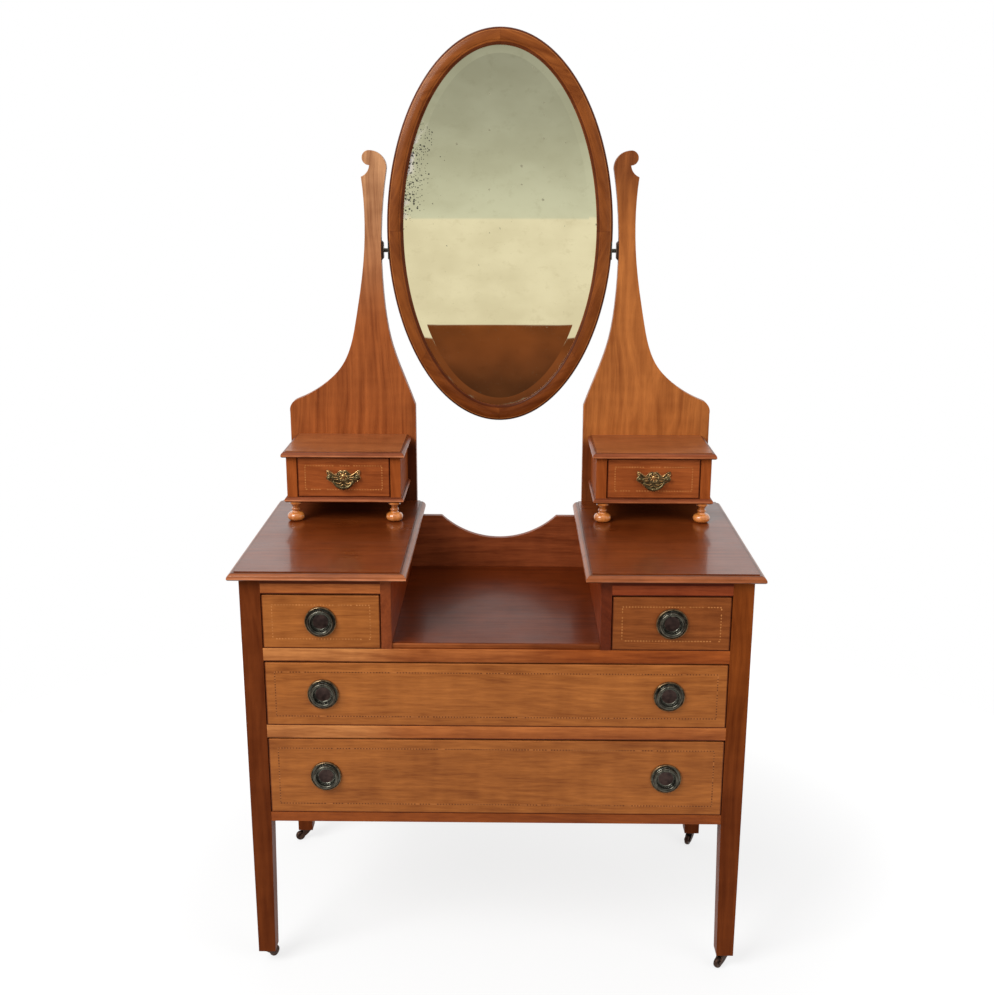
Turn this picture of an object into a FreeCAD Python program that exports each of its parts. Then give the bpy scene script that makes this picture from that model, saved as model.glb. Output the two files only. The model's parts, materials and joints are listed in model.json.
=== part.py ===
import FreeCAD, Part
import math
import os

Vector = FreeCAD.Vector

# Dressing table with two pedestals, a sunk centre shelf, two trinket boxes and a tilting oval mirror.
# Millimetres, +Z up, the front faces -Y, the origin is on the floor under the middle of the table.

# Carcase sizes
TOPS_WIDTH = 914.0
TOP_DEPTH = 480.0
TOP_THICKNESS = 14.0
TOP_OVERHANG = 17.0
RECESS_WIDTH = 360.0
TOP_RECESS_OVERHANG = 28.0
LEG_SIZE = 36.0
LEG_FOOT_SIZE = 31.0
LEG_CLEAR_HEIGHT = 271.0
BOTTOM_RAIL_HEIGHT = 18.0
LOWER_OPENING_HEIGHT = 146.0
RAIL_HEIGHT = 24.0
UPPER_OPENING_HEIGHT = 121.0
SMALL_OPENING_HEIGHT = 100.0
TOP_RAIL_HEIGHT = 28.0
TOP_RAIL_DEPTH = 22.0
RAIL_DEPTH = 50.0
TENON_LENGTH = 22.0
TENON_THICKNESS = 10.0
TENON_SETBACK = 8.0
TENON_SHOULDER = 3.0
TONGUE = 6.0
SIDE_PANEL_THICKNESS = 14.0
SIDE_PANEL_RECESS = 5.0
BACK_PANEL_THICKNESS = 8.0
BACK_PANEL_INSET = 6.0
PEDESTAL_BACK_THICKNESS = 18.0
DIVIDER_THICKNESS = 18.0
SHELF_THICKNESS = 10.0
SHELF_SETBACK = 3.0
SHELF_NOSING = 4.0
RECESS_BACK_THICKNESS = 12.0
RECESS_BACK_DROP = 24.0
SCOOP_WIDTH = 234.0
SCOOP_DEPTH = 47.0
RUNNER_WIDTH = 40.0
INNER_RUNNER_WIDTH = 56.0
GUIDE_RISE = 22.0

# Moulded edges: a quirk, a rounded ovolo and a small bevel under the tip
TOP_QUIRK = 2.0
TOP_OVOLO_RUN = 11.0
TOP_OVOLO_DROP = 7.5
TOP_TIP_HEIGHT = 2.5
BOX_QUIRK = 1.5
BOX_OVOLO_RUN = 8.0
BOX_OVOLO_DROP = 6.0
BOX_TIP_HEIGHT = 2.5
BASE_QUIRK = 1.0
BASE_OVOLO_RUN = 4.0
BASE_OVOLO_DROP = 4.0
BASE_TIP_HEIGHT = 2.5

# Drawers
FRONT_SIDE_GAP = 1.5
FRONT_TOP_GAP = 3.0
FRONT_FOOT_GAP = 1.0
RUN_GAP = 0.3
SIDE_TOP_GAP = 6.0
DRAWER_FRONT_THICKNESS = 20.0
DRAWER_SIDE_THICKNESS = 10.0
DRAWER_BOTTOM_THICKNESS = 6.0
DRAWER_BOTTOM_LIFT = 8.0
DRAWER_BACK_DROP = 10.0
DRAWER_REAR_GAP = 9.0
GROOVE_DEPTH = 5.0
DOVETAIL_LAP = 5.0
DOVETAIL_SLOPE = 1.0 / 7.0
DOVETAIL_PITCH = 30.0
DOVETAIL_NECK = 14.0
STOP_LENGTH = 40.0
STOP_DEPTH = 14.0
STOP_HEIGHT = 6.0
STOP_GAP = 0.2

# Trinket boxes
BOX_CENTRE_X = 298.0
BOX_WIDTH = 220.0
BOX_DEPTH = 158.0
BOX_SIDE_THICKNESS = 20.0
BOX_OPENING_HEIGHT = 80.0
BOX_TOP_THICKNESS = 12.0
BOX_TOP_OVERHANG = 8.0
BOX_TOP_FRONT_OVERHANG = 11.0
BOX_BASE_THICKNESS = 10.0
BOX_BASE_OVERHANG = 5.0
BOX_DRAWER_FRONT_THICKNESS = 14.0
BOX_DRAWER_SIDE_THICKNESS = 7.0
BOX_DRAWER_BOTTOM_THICKNESS = 4.0
BOX_DRAWER_BOTTOM_LIFT = 5.0
BOX_DRAWER_REAR_GAP = 8.0
FOOT_HEIGHT = 38.0
FOOT_INSET = 14.0
FOOT_SETBACK = 8.0
FOOT_BUN_RADIUS = 16.5
FOOT_REST_RADIUS = 9.0
FOOT_BUN_HEIGHT = 17.0
FOOT_NECK_RADIUS = 6.0
FOOT_BEAD_RADIUS = 8.5
FOOT_BEAD_HEIGHT = 6.0
FOOT_FLARE_RADIUS = 7.0
FOOT_COLLAR_RADIUS = 12.0
FOOT_COLLAR_HEIGHT = 4.0
FOOT_SPIGOT_RADIUS = 4.5
FOOT_SPIGOT_HEIGHT = 7.0

# Mirror and its standards
STANDARD_THICKNESS = 20.0
STANDARD_INNER_X = 170.0
STANDARD_BASE_WIDTH = 255.0
STANDARD_FOOT_DROP = 120.0
STANDARD_SHOULDER_RISE = 184.0
STANDARD_SHOULDER_WIDTH = 16.0
STANDARD_SHOULDER_HEIGHT = 27.0
STANDARD_FLARE_RISE = 199.0
NECK_WIDTH = 31.0
NECK_RISE = 562.0
HOOK_RISE = 647.0
HOOK_SPREAD = 5.0
HOOK_LEAN = 3.5
HEAD_RISE = 696.5
LOBE_RADIUS = 14.0
CROWN_RADIUS = 33.0
BITE_RADIUS = 20.0
MIRROR_WIDTH = 442.0
MIRROR_HEIGHT = 752.0
MIRROR_CENTRE_RISE = 544.0
MIRROR_PIVOT_DROP = 37.0
MIRROR_SIDE_GAP = 12.0
FRAME_FACE_WIDTH = 32.0
FRAME_EDGE_ROUND = 7.0
FRAME_HOLLOW_WIDTH = 9.0
FRAME_HOLLOW_DEPTH = 4.0
FRAME_LIP = 6.0
RABBET_WIDTH = 6.0
GLASS_THICKNESS = 5.0
GLASS_EDGE = 2.0
GLASS_BEVEL = 20.0
GLASS_FIT = 0.5
BACKBOARD_THICKNESS = 6.0
PIVOT_PLATE_HEIGHT = 50.0
PIVOT_PLATE_WIDTH = 14.0
PIVOT_PLATE_THICKNESS = 2.5
PIVOT_BOSS_RADIUS = 9.0
PIVOT_BOSS_LENGTH = 5.0
PIVOT_PIN_RADIUS = 4.0
FRAME_PLATE_HEIGHT = 34.0
FRAME_PLATE_THICKNESS = 2.0
FRAME_PLATE_SINK = 3.0
RUNNING_CLEARANCE = 0.05

# Ring pulls, drop handles and casters
PULL_END_DISTANCE = 102.0
PULL_PLATE_RADIUS = 27.5
PULL_PLATE_THICKNESS = 2.5
PULL_RIM_WIDTH = 2.5
PULL_RIM_HEIGHT = 2.0
PULL_DISH_RADIUS = 14.0
PULL_DISH_DEPTH = 1.3
RING_RADIUS = 19.0
RING_TUBE_RADIUS = 4.0
RING_BACK_GAP = 0.6
RING_PIN_RADIUS = 2.0
LUG_WIDTH = 8.0
LUG_NECK_HEIGHT = 5.0
LUG_SIDE_GAP = 0.5
BAIL_PLATE_THICKNESS = 2.0
BAIL_ROSETTE_RADIUS = 14.0
BAIL_EAR_RADIUS = 7.5
BAIL_UPPER_LOBE_RADIUS = 8.5
BAIL_LOWER_LOBE_RADIUS = 8.0
BAIL_LOBE_RISE = 5.0
BAIL_RADIUS = 20.0
BAIL_END_RADIUS = 2.0
BAIL_SWELL = 1.6
BAIL_SPANS = 8
BAIL_PIN_RADIUS = 1.4
BAIL_STANDOFF = 7.0
BAIL_POST_RADIUS = 3.8
BAIL_POST_GAP = 1.0
BAIL_PIN_ENGAGEMENT = 5.0
CASTER_HEIGHT = 27.0
CASTER_PLATE_RADIUS = 13.0
CASTER_PLATE_THICKNESS = 2.0
CASTER_RIVET_RADIUS = 2.5
CASTER_COLLAR_RADIUS = 7.5
CASTER_COLLAR_HEIGHT = 3.5
CASTER_COLLAR_GAP = 0.3
CASTER_TRAIL = 15.0
CASTER_CHEEK_THICKNESS = 2.5
CASTER_AXLE_RADIUS = 1.5
WHEEL_RADIUS = 10.5
WHEEL_WIDTH = 8.0
WHEEL_CROWN = 1.2
WHEEL_SIDE_GAP = 0.4
WHEEL_RIM_GAP = 0.8
# Direction of each caster's trail, in degrees from +X
CASTER_TRAIL_ANGLES = {"front_left": 60.0, "front_right": 225.0, "rear_left": 210.0, "rear_right": 240.0}

# Shape of the standards' flaring edges: how much of the flare is left at each share of the rise
OUTER_FLARE = ((0.628, 0.101), (0.352, 0.24), (0.152, 0.544), (0.028, 0.932))
INNER_FLARE = ((0.594, 0.22), (0.273, 0.416), (0.123, 0.578), (0.044, 0.74))

# Levels and planes worked out from the sizes above
OVERALL_DEPTH = TOP_DEPTH + STANDARD_THICKNESS
FRONT_TIP_Y = -OVERALL_DEPTH / 2
BACK_Y = FRONT_TIP_Y + TOP_DEPTH
FACE_Y = FRONT_TIP_Y + TOP_OVERHANG
CASE_X = TOPS_WIDTH / 2 - TOP_OVERHANG
LEG_X = CASE_X - LEG_SIZE
PULL_X = LEG_X - PULL_END_DISTANCE
RECESS_X = RECESS_WIDTH / 2
DIVIDER_X = RECESS_X + DIVIDER_THICKNESS
PANEL_X = CASE_X - SIDE_PANEL_RECESS - SIDE_PANEL_THICKNESS
BOTTOM_RAIL_Z = CASTER_HEIGHT + LEG_CLEAR_HEIGHT
LOWER_Z = BOTTOM_RAIL_Z + BOTTOM_RAIL_HEIGHT
LOWER_RAIL_Z = LOWER_Z + LOWER_OPENING_HEIGHT
UPPER_Z = LOWER_RAIL_Z + RAIL_HEIGHT
MIDDLE_RAIL_Z = UPPER_Z + UPPER_OPENING_HEIGHT
SMALL_Z = MIDDLE_RAIL_Z + RAIL_HEIGHT
TOP_RAIL_Z = SMALL_Z + SMALL_OPENING_HEIGHT
CASE_TOP_Z = TOP_RAIL_Z + TOP_RAIL_HEIGHT
TOP_Z = CASE_TOP_Z + TOP_THICKNESS
BACK_PANEL_Y = BACK_Y - BACK_PANEL_INSET - BACK_PANEL_THICKNESS
PEDESTAL_BACK_Y = BACK_Y - PEDESTAL_BACK_THICKNESS
RECESS_BACK_Y = PEDESTAL_BACK_Y - RECESS_BACK_THICKNESS
BOX_FACE_Y = BACK_Y - BOX_DEPTH
BOX_BASE_Z = TOP_Z + FOOT_HEIGHT
BOX_OPENING_Z = BOX_BASE_Z + BOX_BASE_THICKNESS
BOX_TOP_Z = BOX_OPENING_Z + BOX_OPENING_HEIGHT
MIRROR_Z = TOP_Z + MIRROR_CENTRE_RISE
PIVOT_Z = MIRROR_Z - MIRROR_PIVOT_DROP
PIVOT_Y = BACK_Y + STANDARD_THICKNESS / 2
NECK_X = MIRROR_WIDTH / 2 + MIRROR_SIDE_GAP


def box(x0, x1, y0, y1, z0, z1):
    return Part.makeBox(x1 - x0, y1 - y0, z1 - z0, Vector(x0, y0, z0))


def mirrored(shape):
    return shape.mirror(Vector(0, 0, 0), Vector(1, 0, 0))


def pair(shape):
    return [mirrored(shape), shape]


def moved(shape, x, y, z):
    copy = shape.copy()
    copy.translate(Vector(x, y, z))
    return copy


def cut_all(shape, tools):
    for tool in tools:
        shape = shape.cut(tool)
    return shape


def save(node, solids):
    shape = solids[0] if len(solids) == 1 else Part.makeCompound(solids)
    shape.exportStep(os.path.join("parts", node + ".step"))


def line(a, b):
    return Part.LineSegment(a, b).toShape()


def arc(a, middle, b):
    return Part.Arc(a, middle, b).toShape()


def prism(edges, direction):
    return Part.Face(Part.Wire(edges)).extrude(direction)


def polygon_prism(points, direction):
    return Part.Face(Part.makePolygon(points + points[:1])).extrude(direction)


def cylinder_x(radius, x0, x1, y, z):
    return Part.makeCylinder(radius, x1 - x0, Vector(x0, y, z), Vector(1, 0, 0))


def cylinder_y(radius, y0, y1, x, z):
    return Part.makeCylinder(radius, y1 - y0, Vector(x, y0, z), Vector(0, 1, 0))


# Moulded boards: the tops of the pedestals, and the tops and bases of the trinket boxes

def moulded_edge(quirk, run, drop, tip_height, thickness):
    """Points of a moulded edge from the top down, as (distance in from the tip, depth below the top)."""
    below = quirk + drop
    slant = math.sqrt(0.5)
    start = (run, quirk)
    middle = (run - run * slant, quirk + drop * (1 - slant))
    end = (0.0, below)
    under = (0.0, below + tip_height)
    foot = (thickness - under[1], thickness)
    return start, middle, end, under, foot


def half_outline(place, outer, sign, edge):
    """Edges of one moulded end, from the flat top down to the underside."""
    start, middle, end, under, foot = edge

    def at(spot):
        return place(outer - sign * spot[0], -spot[1])

    top = place(outer - sign * start[0], 0.0)
    edges = [line(top, at(start)), arc(at(start), at(middle), at(end))]
    edges += [line(at(end), at(under)), line(at(under), at(foot))]
    return top, edges, at(foot)


def moulded_board(x0, x1, y0, y1, top_z, edge):
    """A board moulded along its front and both ends, with a plain back edge."""
    def across(x, drop):
        return Vector(x, y0, top_z + drop)

    def along(y, drop):
        return Vector(x0, y, top_z + drop)

    left_top, left, left_foot = half_outline(across, x0, -1, edge)
    right_top, right, right_foot = half_outline(across, x1, 1, edge)
    outline = left + [line(left_foot, right_foot)] + right[::-1] + [line(right_top, left_top)]
    ends = prism(outline, Vector(0, y1 - y0, 0))
    front_top, front, front_foot = half_outline(along, y0, -1, edge)
    back_foot = Vector(x0, y1, front_foot.z)
    back_top = Vector(x0, y1, front_top.z)
    back = [line(front_foot, back_foot), line(back_foot, back_top), line(back_top, front_top)]
    return ends.common(prism(front + back, Vector(x1 - x0, 0, 0)))


def pedestal_tops():
    edge = moulded_edge(TOP_QUIRK, TOP_OVOLO_RUN, TOP_OVOLO_DROP, TOP_TIP_HEIGHT, TOP_THICKNESS)
    inner = RECESS_X - TOP_RECESS_OVERHANG
    return pair(moulded_board(inner, TOPS_WIDTH / 2, FRONT_TIP_Y, BACK_Y, TOP_Z, edge))


# Carcase: legs, rails, panels, dividers, shelf, scooped back board, runners and stops

def tapered_leg(outer_y, inner_y):
    """A square leg whose two inner faces taper below the rails."""
    step = math.copysign(LEG_FOOT_SIZE, inner_y - outer_y)

    def section(z, size_x, far_y):
        near_x = CASE_X - size_x
        corners = [(CASE_X, outer_y), (near_x, outer_y), (near_x, far_y), (CASE_X, far_y)]
        points = [Vector(x, y, z) for x, y in corners]
        return Part.makePolygon(points + points[:1])

    low = section(CASTER_HEIGHT, LEG_FOOT_SIZE, outer_y + step)
    high = section(BOTTOM_RAIL_Z, LEG_SIZE, inner_y)
    post = Part.Face(high).extrude(Vector(0, 0, CASE_TOP_Z - BOTTOM_RAIL_Z))
    return Part.makeLoft([low, high], True, True).fuse(post).removeSplitter()


def tenoned_rail(z0, height, depth):
    """A rail between the front legs, with a tenon at each end."""
    rail = box(-LEG_X, LEG_X, FACE_Y, FACE_Y + depth, z0, z0 + height)
    y0 = FACE_Y + TENON_SETBACK
    reach = LEG_X + TENON_LENGTH
    low = z0 + TENON_SHOULDER
    high = z0 + height - TENON_SHOULDER
    tenon = box(-reach, reach, y0, y0 + TENON_THICKNESS, low, high)
    return rail.fuse(tenon).removeSplitter()


def top_rail():
    y0 = FACE_Y + TENON_SETBACK
    rail = box(DIVIDER_X, LEG_X, FACE_Y, FACE_Y + TOP_RAIL_DEPTH, TOP_RAIL_Z, CASE_TOP_Z)
    low = TOP_RAIL_Z + TENON_SHOULDER
    high = CASE_TOP_Z - TENON_SHOULDER
    tenon = box(DIVIDER_X - TONGUE, LEG_X + TENON_LENGTH, y0, y0 + TENON_THICKNESS, low, high)
    return rail.fuse(tenon).removeSplitter()


def side_panel():
    y0 = FACE_Y + LEG_SIZE - TONGUE
    y1 = BACK_Y - LEG_SIZE + TONGUE
    return box(PANEL_X, PANEL_X + SIDE_PANEL_THICKNESS, y0, y1, BOTTOM_RAIL_Z, CASE_TOP_Z)


def back_panel():
    reach = LEG_X + TONGUE
    return box(-reach, reach, BACK_PANEL_Y, BACK_PANEL_Y + BACK_PANEL_THICKNESS, BOTTOM_RAIL_Z, SMALL_Z)


def pedestal_back():
    return box(DIVIDER_X, LEG_X + TONGUE, PEDESTAL_BACK_Y, BACK_Y, SMALL_Z, CASE_TOP_Z)


def recess_back():
    """The board behind the sunk shelf, with a shallow arc scooped from its top edge."""
    reach = RECESS_X + TONGUE
    shoulder = TOP_Z - RECESS_BACK_DROP
    half = SCOOP_WIDTH / 2

    def at(x, z):
        return Vector(x, RECESS_BACK_Y, z)

    low_left = at(-reach, SMALL_Z)
    low_right = at(reach, SMALL_Z)
    high_left = at(-reach, shoulder)
    high_right = at(reach, shoulder)
    scoop_left = at(-half, shoulder)
    scoop_right = at(half, shoulder)
    scoop = arc(scoop_right, at(0, shoulder - SCOOP_DEPTH), scoop_left)
    edges = [line(low_left, low_right), line(low_right, high_right), line(high_right, scoop_right)]
    edges += [scoop, line(scoop_left, high_left), line(high_left, low_left)]
    return prism(edges, Vector(0, RECESS_BACK_THICKNESS, 0))


def recess_shelf():
    """The sunk shelf, with its front top edge rounded over."""
    front = FACE_Y + SHELF_SETBACK
    top = SMALL_Z + SHELF_THICKNESS
    slant = SHELF_NOSING * (1 - math.sqrt(0.5))

    def at(y, z):
        return Vector(-RECESS_X, y, z)

    low = at(front, top - SHELF_NOSING)
    high = at(front + SHELF_NOSING, top)
    edges = [line(at(RECESS_BACK_Y, SMALL_Z), at(front, SMALL_Z)), line(at(front, SMALL_Z), low)]
    edges += [arc(low, at(front + slant, top - slant), high), line(high, at(RECESS_BACK_Y, top))]
    edges += [line(at(RECESS_BACK_Y, top), at(RECESS_BACK_Y, SMALL_Z))]
    return prism(edges, Vector(2 * RECESS_X, 0, 0))


def runners():
    """Runners behind each rail, with guide strips that fill out to the side panels."""
    y0 = FACE_Y + RAIL_DEPTH
    levels = ((BOTTOM_RAIL_Z, LOWER_Z), (LOWER_RAIL_Z, UPPER_Z), (MIDDLE_RAIL_Z, SMALL_Z))
    solids = []
    for low, high in levels:
        solids += pair(box(LEG_X - RUNNER_WIDTH, LEG_X, y0, BACK_PANEL_Y, low, high))
        guide = box(LEG_X, PANEL_X, FACE_Y + LEG_SIZE, BACK_Y - LEG_SIZE, low, high + GUIDE_RISE)
        solids += pair(guide)
    middle = (RECESS_X + DIVIDER_X) / 2
    half = INNER_RUNNER_WIDTH / 2
    solids += pair(box(middle - half, middle + half, y0, BACK_PANEL_Y, MIDDLE_RAIL_Z, SMALL_Z))
    return solids


def drawer_stops():
    y0 = FACE_Y + DRAWER_FRONT_THICKNESS + STOP_GAP
    half = STOP_LENGTH / 2
    solids = []
    for z in (LOWER_Z, UPPER_Z, SMALL_Z):
        solids += pair(box(PULL_X - half, PULL_X + half, y0, y0 + STOP_DEPTH, z, z + STOP_HEIGHT))
    return solids


def build_carcase():
    rails = {
        "bottom_rail": tenoned_rail(BOTTOM_RAIL_Z, BOTTOM_RAIL_HEIGHT, RAIL_DEPTH),
        "lower_rail": tenoned_rail(LOWER_RAIL_Z, RAIL_HEIGHT, RAIL_DEPTH),
        "middle_rail": tenoned_rail(MIDDLE_RAIL_Z, RAIL_HEIGHT, RAIL_DEPTH),
    }
    for node, rail in rails.items():
        save(node, [rail])
    small_rail = top_rail()
    panel = side_panel()
    low_back = back_panel()
    high_back = pedestal_back()
    scooped = recess_back()
    front_leg = tapered_leg(FACE_Y, FACE_Y + LEG_SIZE)
    front_leg = cut_all(front_leg, list(rails.values()) + [small_rail, panel])
    rear_leg = cut_all(tapered_leg(BACK_Y, BACK_Y - LEG_SIZE), [panel, low_back, high_back])
    divider = box(RECESS_X, DIVIDER_X, FACE_Y, BACK_Y, SMALL_Z, CASE_TOP_Z)
    divider = cut_all(divider, [small_rail, scooped])
    save("front_legs", pair(front_leg))
    save("rear_legs", pair(rear_leg))
    save("side_panels", pair(panel))
    save("back_panel", [low_back])
    save("pedestal_backs", pair(high_back))
    save("top_rails", pair(small_rail))
    save("recess_sides", pair(divider))
    save("recess_back", [scooped])
    save("recess_shelf", [recess_shelf()])
    save("pedestal_tops", pedestal_tops())
    save("drawer_runners", runners())
    save("drawer_stops", drawer_stops())


# Drawers: a front with lapped dovetails, grooved sides, a back and a bottom

def dovetails(width, front, side, low, high):
    """Tails of both sides, as prisms that reach into the drawer front."""
    count = max(1, int((high - low) / DOVETAIL_PITCH))
    pitch = (high - low) / count
    neck = DOVETAIL_NECK / 2
    tip = neck + (front - DOVETAIL_LAP) * DOVETAIL_SLOPE
    tails = []
    for index in range(count):
        z = low + (index + 0.5) * pitch
        corners = [(front, z - neck), (front, z + neck)]
        corners += [(DOVETAIL_LAP, z + tip), (DOVETAIL_LAP, z - tip)]
        points = [Vector(width / 2 - side, y, height) for y, height in corners]
        tails.append(polygon_prism(points, Vector(side, 0, 0)))
    return tails


def drawer(opening_width, opening_height, depth, front, side, bottom, lift):
    """Front and box of a drawer; its face is at y=0 and its opening's floor at z=0."""
    width = opening_width - 2 * FRONT_SIDE_GAP
    half = width / 2
    inner = half - side
    low = RUN_GAP
    high = opening_height - SIDE_TOP_GAP
    floor = low + lift
    face = box(-half, half, 0, front, FRONT_FOOT_GAP, opening_height - FRONT_TOP_GAP)
    base = box(-inner - GROOVE_DEPTH, inner + GROOVE_DEPTH, front, depth, floor, floor + bottom)
    tongue = box(-inner, inner, front - GROOVE_DEPTH, front, floor, floor + bottom)
    base = base.fuse(tongue).removeSplitter()
    reach = inner + GROOVE_DEPTH
    back = box(-reach, reach, depth - side, depth, floor + bottom, high - DRAWER_BACK_DROP)
    tails = dovetails(width, front, side, low, high)
    wall = box(inner, half, front, depth, low, high)
    for tail in tails:
        wall = wall.fuse(tail)
    wall = cut_all(wall.removeSplitter(), [base, back])
    face = cut_all(face, tails + [mirrored(tail) for tail in tails] + [base])
    return face, pair(wall) + [back, base]


def build_drawer(node, face, box_solids, x, y, z):
    save(node + "_front", [moved(face, x, y, z)])
    save(node + "_box", [moved(solid, x, y, z) for solid in box_solids])


def build_drawers():
    long_depth = BACK_PANEL_Y - DRAWER_REAR_GAP - FACE_Y
    small_depth = PEDESTAL_BACK_Y - DRAWER_REAR_GAP - FACE_Y
    sizes = (DRAWER_FRONT_THICKNESS, DRAWER_SIDE_THICKNESS, DRAWER_BOTTOM_THICKNESS, DRAWER_BOTTOM_LIFT)
    lower = drawer(2 * LEG_X, LOWER_OPENING_HEIGHT, long_depth, *sizes)
    upper = drawer(2 * LEG_X, UPPER_OPENING_HEIGHT, long_depth, *sizes)
    small = drawer(LEG_X - DIVIDER_X, SMALL_OPENING_HEIGHT, small_depth, *sizes)
    middle = (LEG_X + DIVIDER_X) / 2
    build_drawer("lower_drawer", *lower, 0, FACE_Y, LOWER_Z)
    build_drawer("upper_drawer", *upper, 0, FACE_Y, UPPER_Z)
    build_drawer("left_drawer", *small, -middle, FACE_Y, SMALL_Z)
    build_drawer("right_drawer", *small, middle, FACE_Y, SMALL_Z)
    trinket_sizes = (BOX_DRAWER_FRONT_THICKNESS, BOX_DRAWER_SIDE_THICKNESS)
    trinket_sizes += (BOX_DRAWER_BOTTOM_THICKNESS, BOX_DRAWER_BOTTOM_LIFT)
    opening = BOX_WIDTH - 2 * BOX_SIDE_THICKNESS
    trinket = drawer(opening, BOX_OPENING_HEIGHT, BOX_DEPTH - BOX_DRAWER_REAR_GAP, *trinket_sizes)
    build_drawer("left_trinket_drawer", *trinket, -BOX_CENTRE_X, BOX_FACE_Y, BOX_OPENING_Z)
    build_drawer("right_trinket_drawer", *trinket, BOX_CENTRE_X, BOX_FACE_Y, BOX_OPENING_Z)


# Trinket boxes on their turned feet

def turned_foot():
    """A bun foot with a beaded neck, a flared collar and a spigot, turned about its own axis."""
    def at(radius, z):
        return Vector(radius, 0, z)

    bead_low = FOOT_BUN_HEIGHT + FOOT_BEAD_HEIGHT / 2
    bead_high = bead_low + FOOT_BEAD_HEIGHT
    collar = FOOT_HEIGHT - FOOT_COLLAR_HEIGHT
    rest = at(FOOT_REST_RADIUS, 0)
    bun_top = at(FOOT_BEAD_RADIUS, FOOT_BUN_HEIGHT)
    edges = [line(at(0, 0), rest), arc(rest, at(FOOT_BUN_RADIUS, FOOT_BUN_HEIGHT / 2), bun_top)]
    edges += [line(bun_top, at(FOOT_NECK_RADIUS, bead_low))]
    bead_middle = at(FOOT_BEAD_RADIUS, (bead_low + bead_high) / 2)
    edges += [arc(at(FOOT_NECK_RADIUS, bead_low), bead_middle, at(FOOT_NECK_RADIUS, bead_high))]
    flare_middle = at(FOOT_FLARE_RADIUS, (bead_high + collar) / 2)
    edges += [arc(at(FOOT_NECK_RADIUS, bead_high), flare_middle, at(FOOT_COLLAR_RADIUS, collar))]
    edges += [line(at(FOOT_COLLAR_RADIUS, collar), at(FOOT_COLLAR_RADIUS, FOOT_HEIGHT))]
    edges += [line(at(FOOT_COLLAR_RADIUS, FOOT_HEIGHT), at(FOOT_SPIGOT_RADIUS, FOOT_HEIGHT))]
    top = FOOT_HEIGHT + FOOT_SPIGOT_HEIGHT
    edges += [line(at(FOOT_SPIGOT_RADIUS, FOOT_HEIGHT), at(FOOT_SPIGOT_RADIUS, top))]
    edges += [line(at(FOOT_SPIGOT_RADIUS, top), at(0, top)), line(at(0, top), at(0, 0))]
    return Part.Face(Part.Wire(edges)).revolve(Vector(0, 0, 0), Vector(0, 0, 1), 360)


def build_trinket_boxes():
    half = BOX_WIDTH / 2
    inner = BOX_CENTRE_X - half
    outer = BOX_CENTRE_X + half

    def board(overhang, front_overhang, top_z, edge):
        front = BOX_FACE_Y - front_overhang
        return moulded_board(inner - overhang, outer + overhang, front, BACK_Y, top_z, edge)

    top_edge = moulded_edge(BOX_QUIRK, BOX_OVOLO_RUN, BOX_OVOLO_DROP, BOX_TIP_HEIGHT, BOX_TOP_THICKNESS)
    top = board(BOX_TOP_OVERHANG, BOX_TOP_FRONT_OVERHANG, BOX_TOP_Z + BOX_TOP_THICKNESS, top_edge)
    base_sizes = (BASE_QUIRK, BASE_OVOLO_RUN, BASE_OVOLO_DROP, BASE_TIP_HEIGHT)
    base_edge = moulded_edge(*base_sizes, BOX_BASE_THICKNESS)
    base = board(BOX_BASE_OVERHANG, BOX_BASE_OVERHANG, BOX_OPENING_Z, base_edge)
    inner_wall = box(inner, inner + BOX_SIDE_THICKNESS, BOX_FACE_Y, BACK_Y, BOX_OPENING_Z, BOX_TOP_Z)
    outer_wall = box(outer - BOX_SIDE_THICKNESS, outer, BOX_FACE_Y, BACK_Y, BOX_OPENING_Z, BOX_TOP_Z)
    feet = []
    for side in (-1, 1):
        foot_x = BOX_CENTRE_X + side * (half - FOOT_INSET)
        feet.append(moved(turned_foot(), foot_x, BOX_FACE_Y + FOOT_SETBACK, TOP_Z))
    base = cut_all(base, feet)
    save("trinket_tops", pair(top))
    save("trinket_bases", pair(base))
    save("trinket_sides", pair(inner_wall) + pair(outer_wall))
    save("trinket_feet", [solid for foot in feet for solid in pair(foot)])


# Standards with a flared base, a narrow neck and a scrolled head

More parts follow.
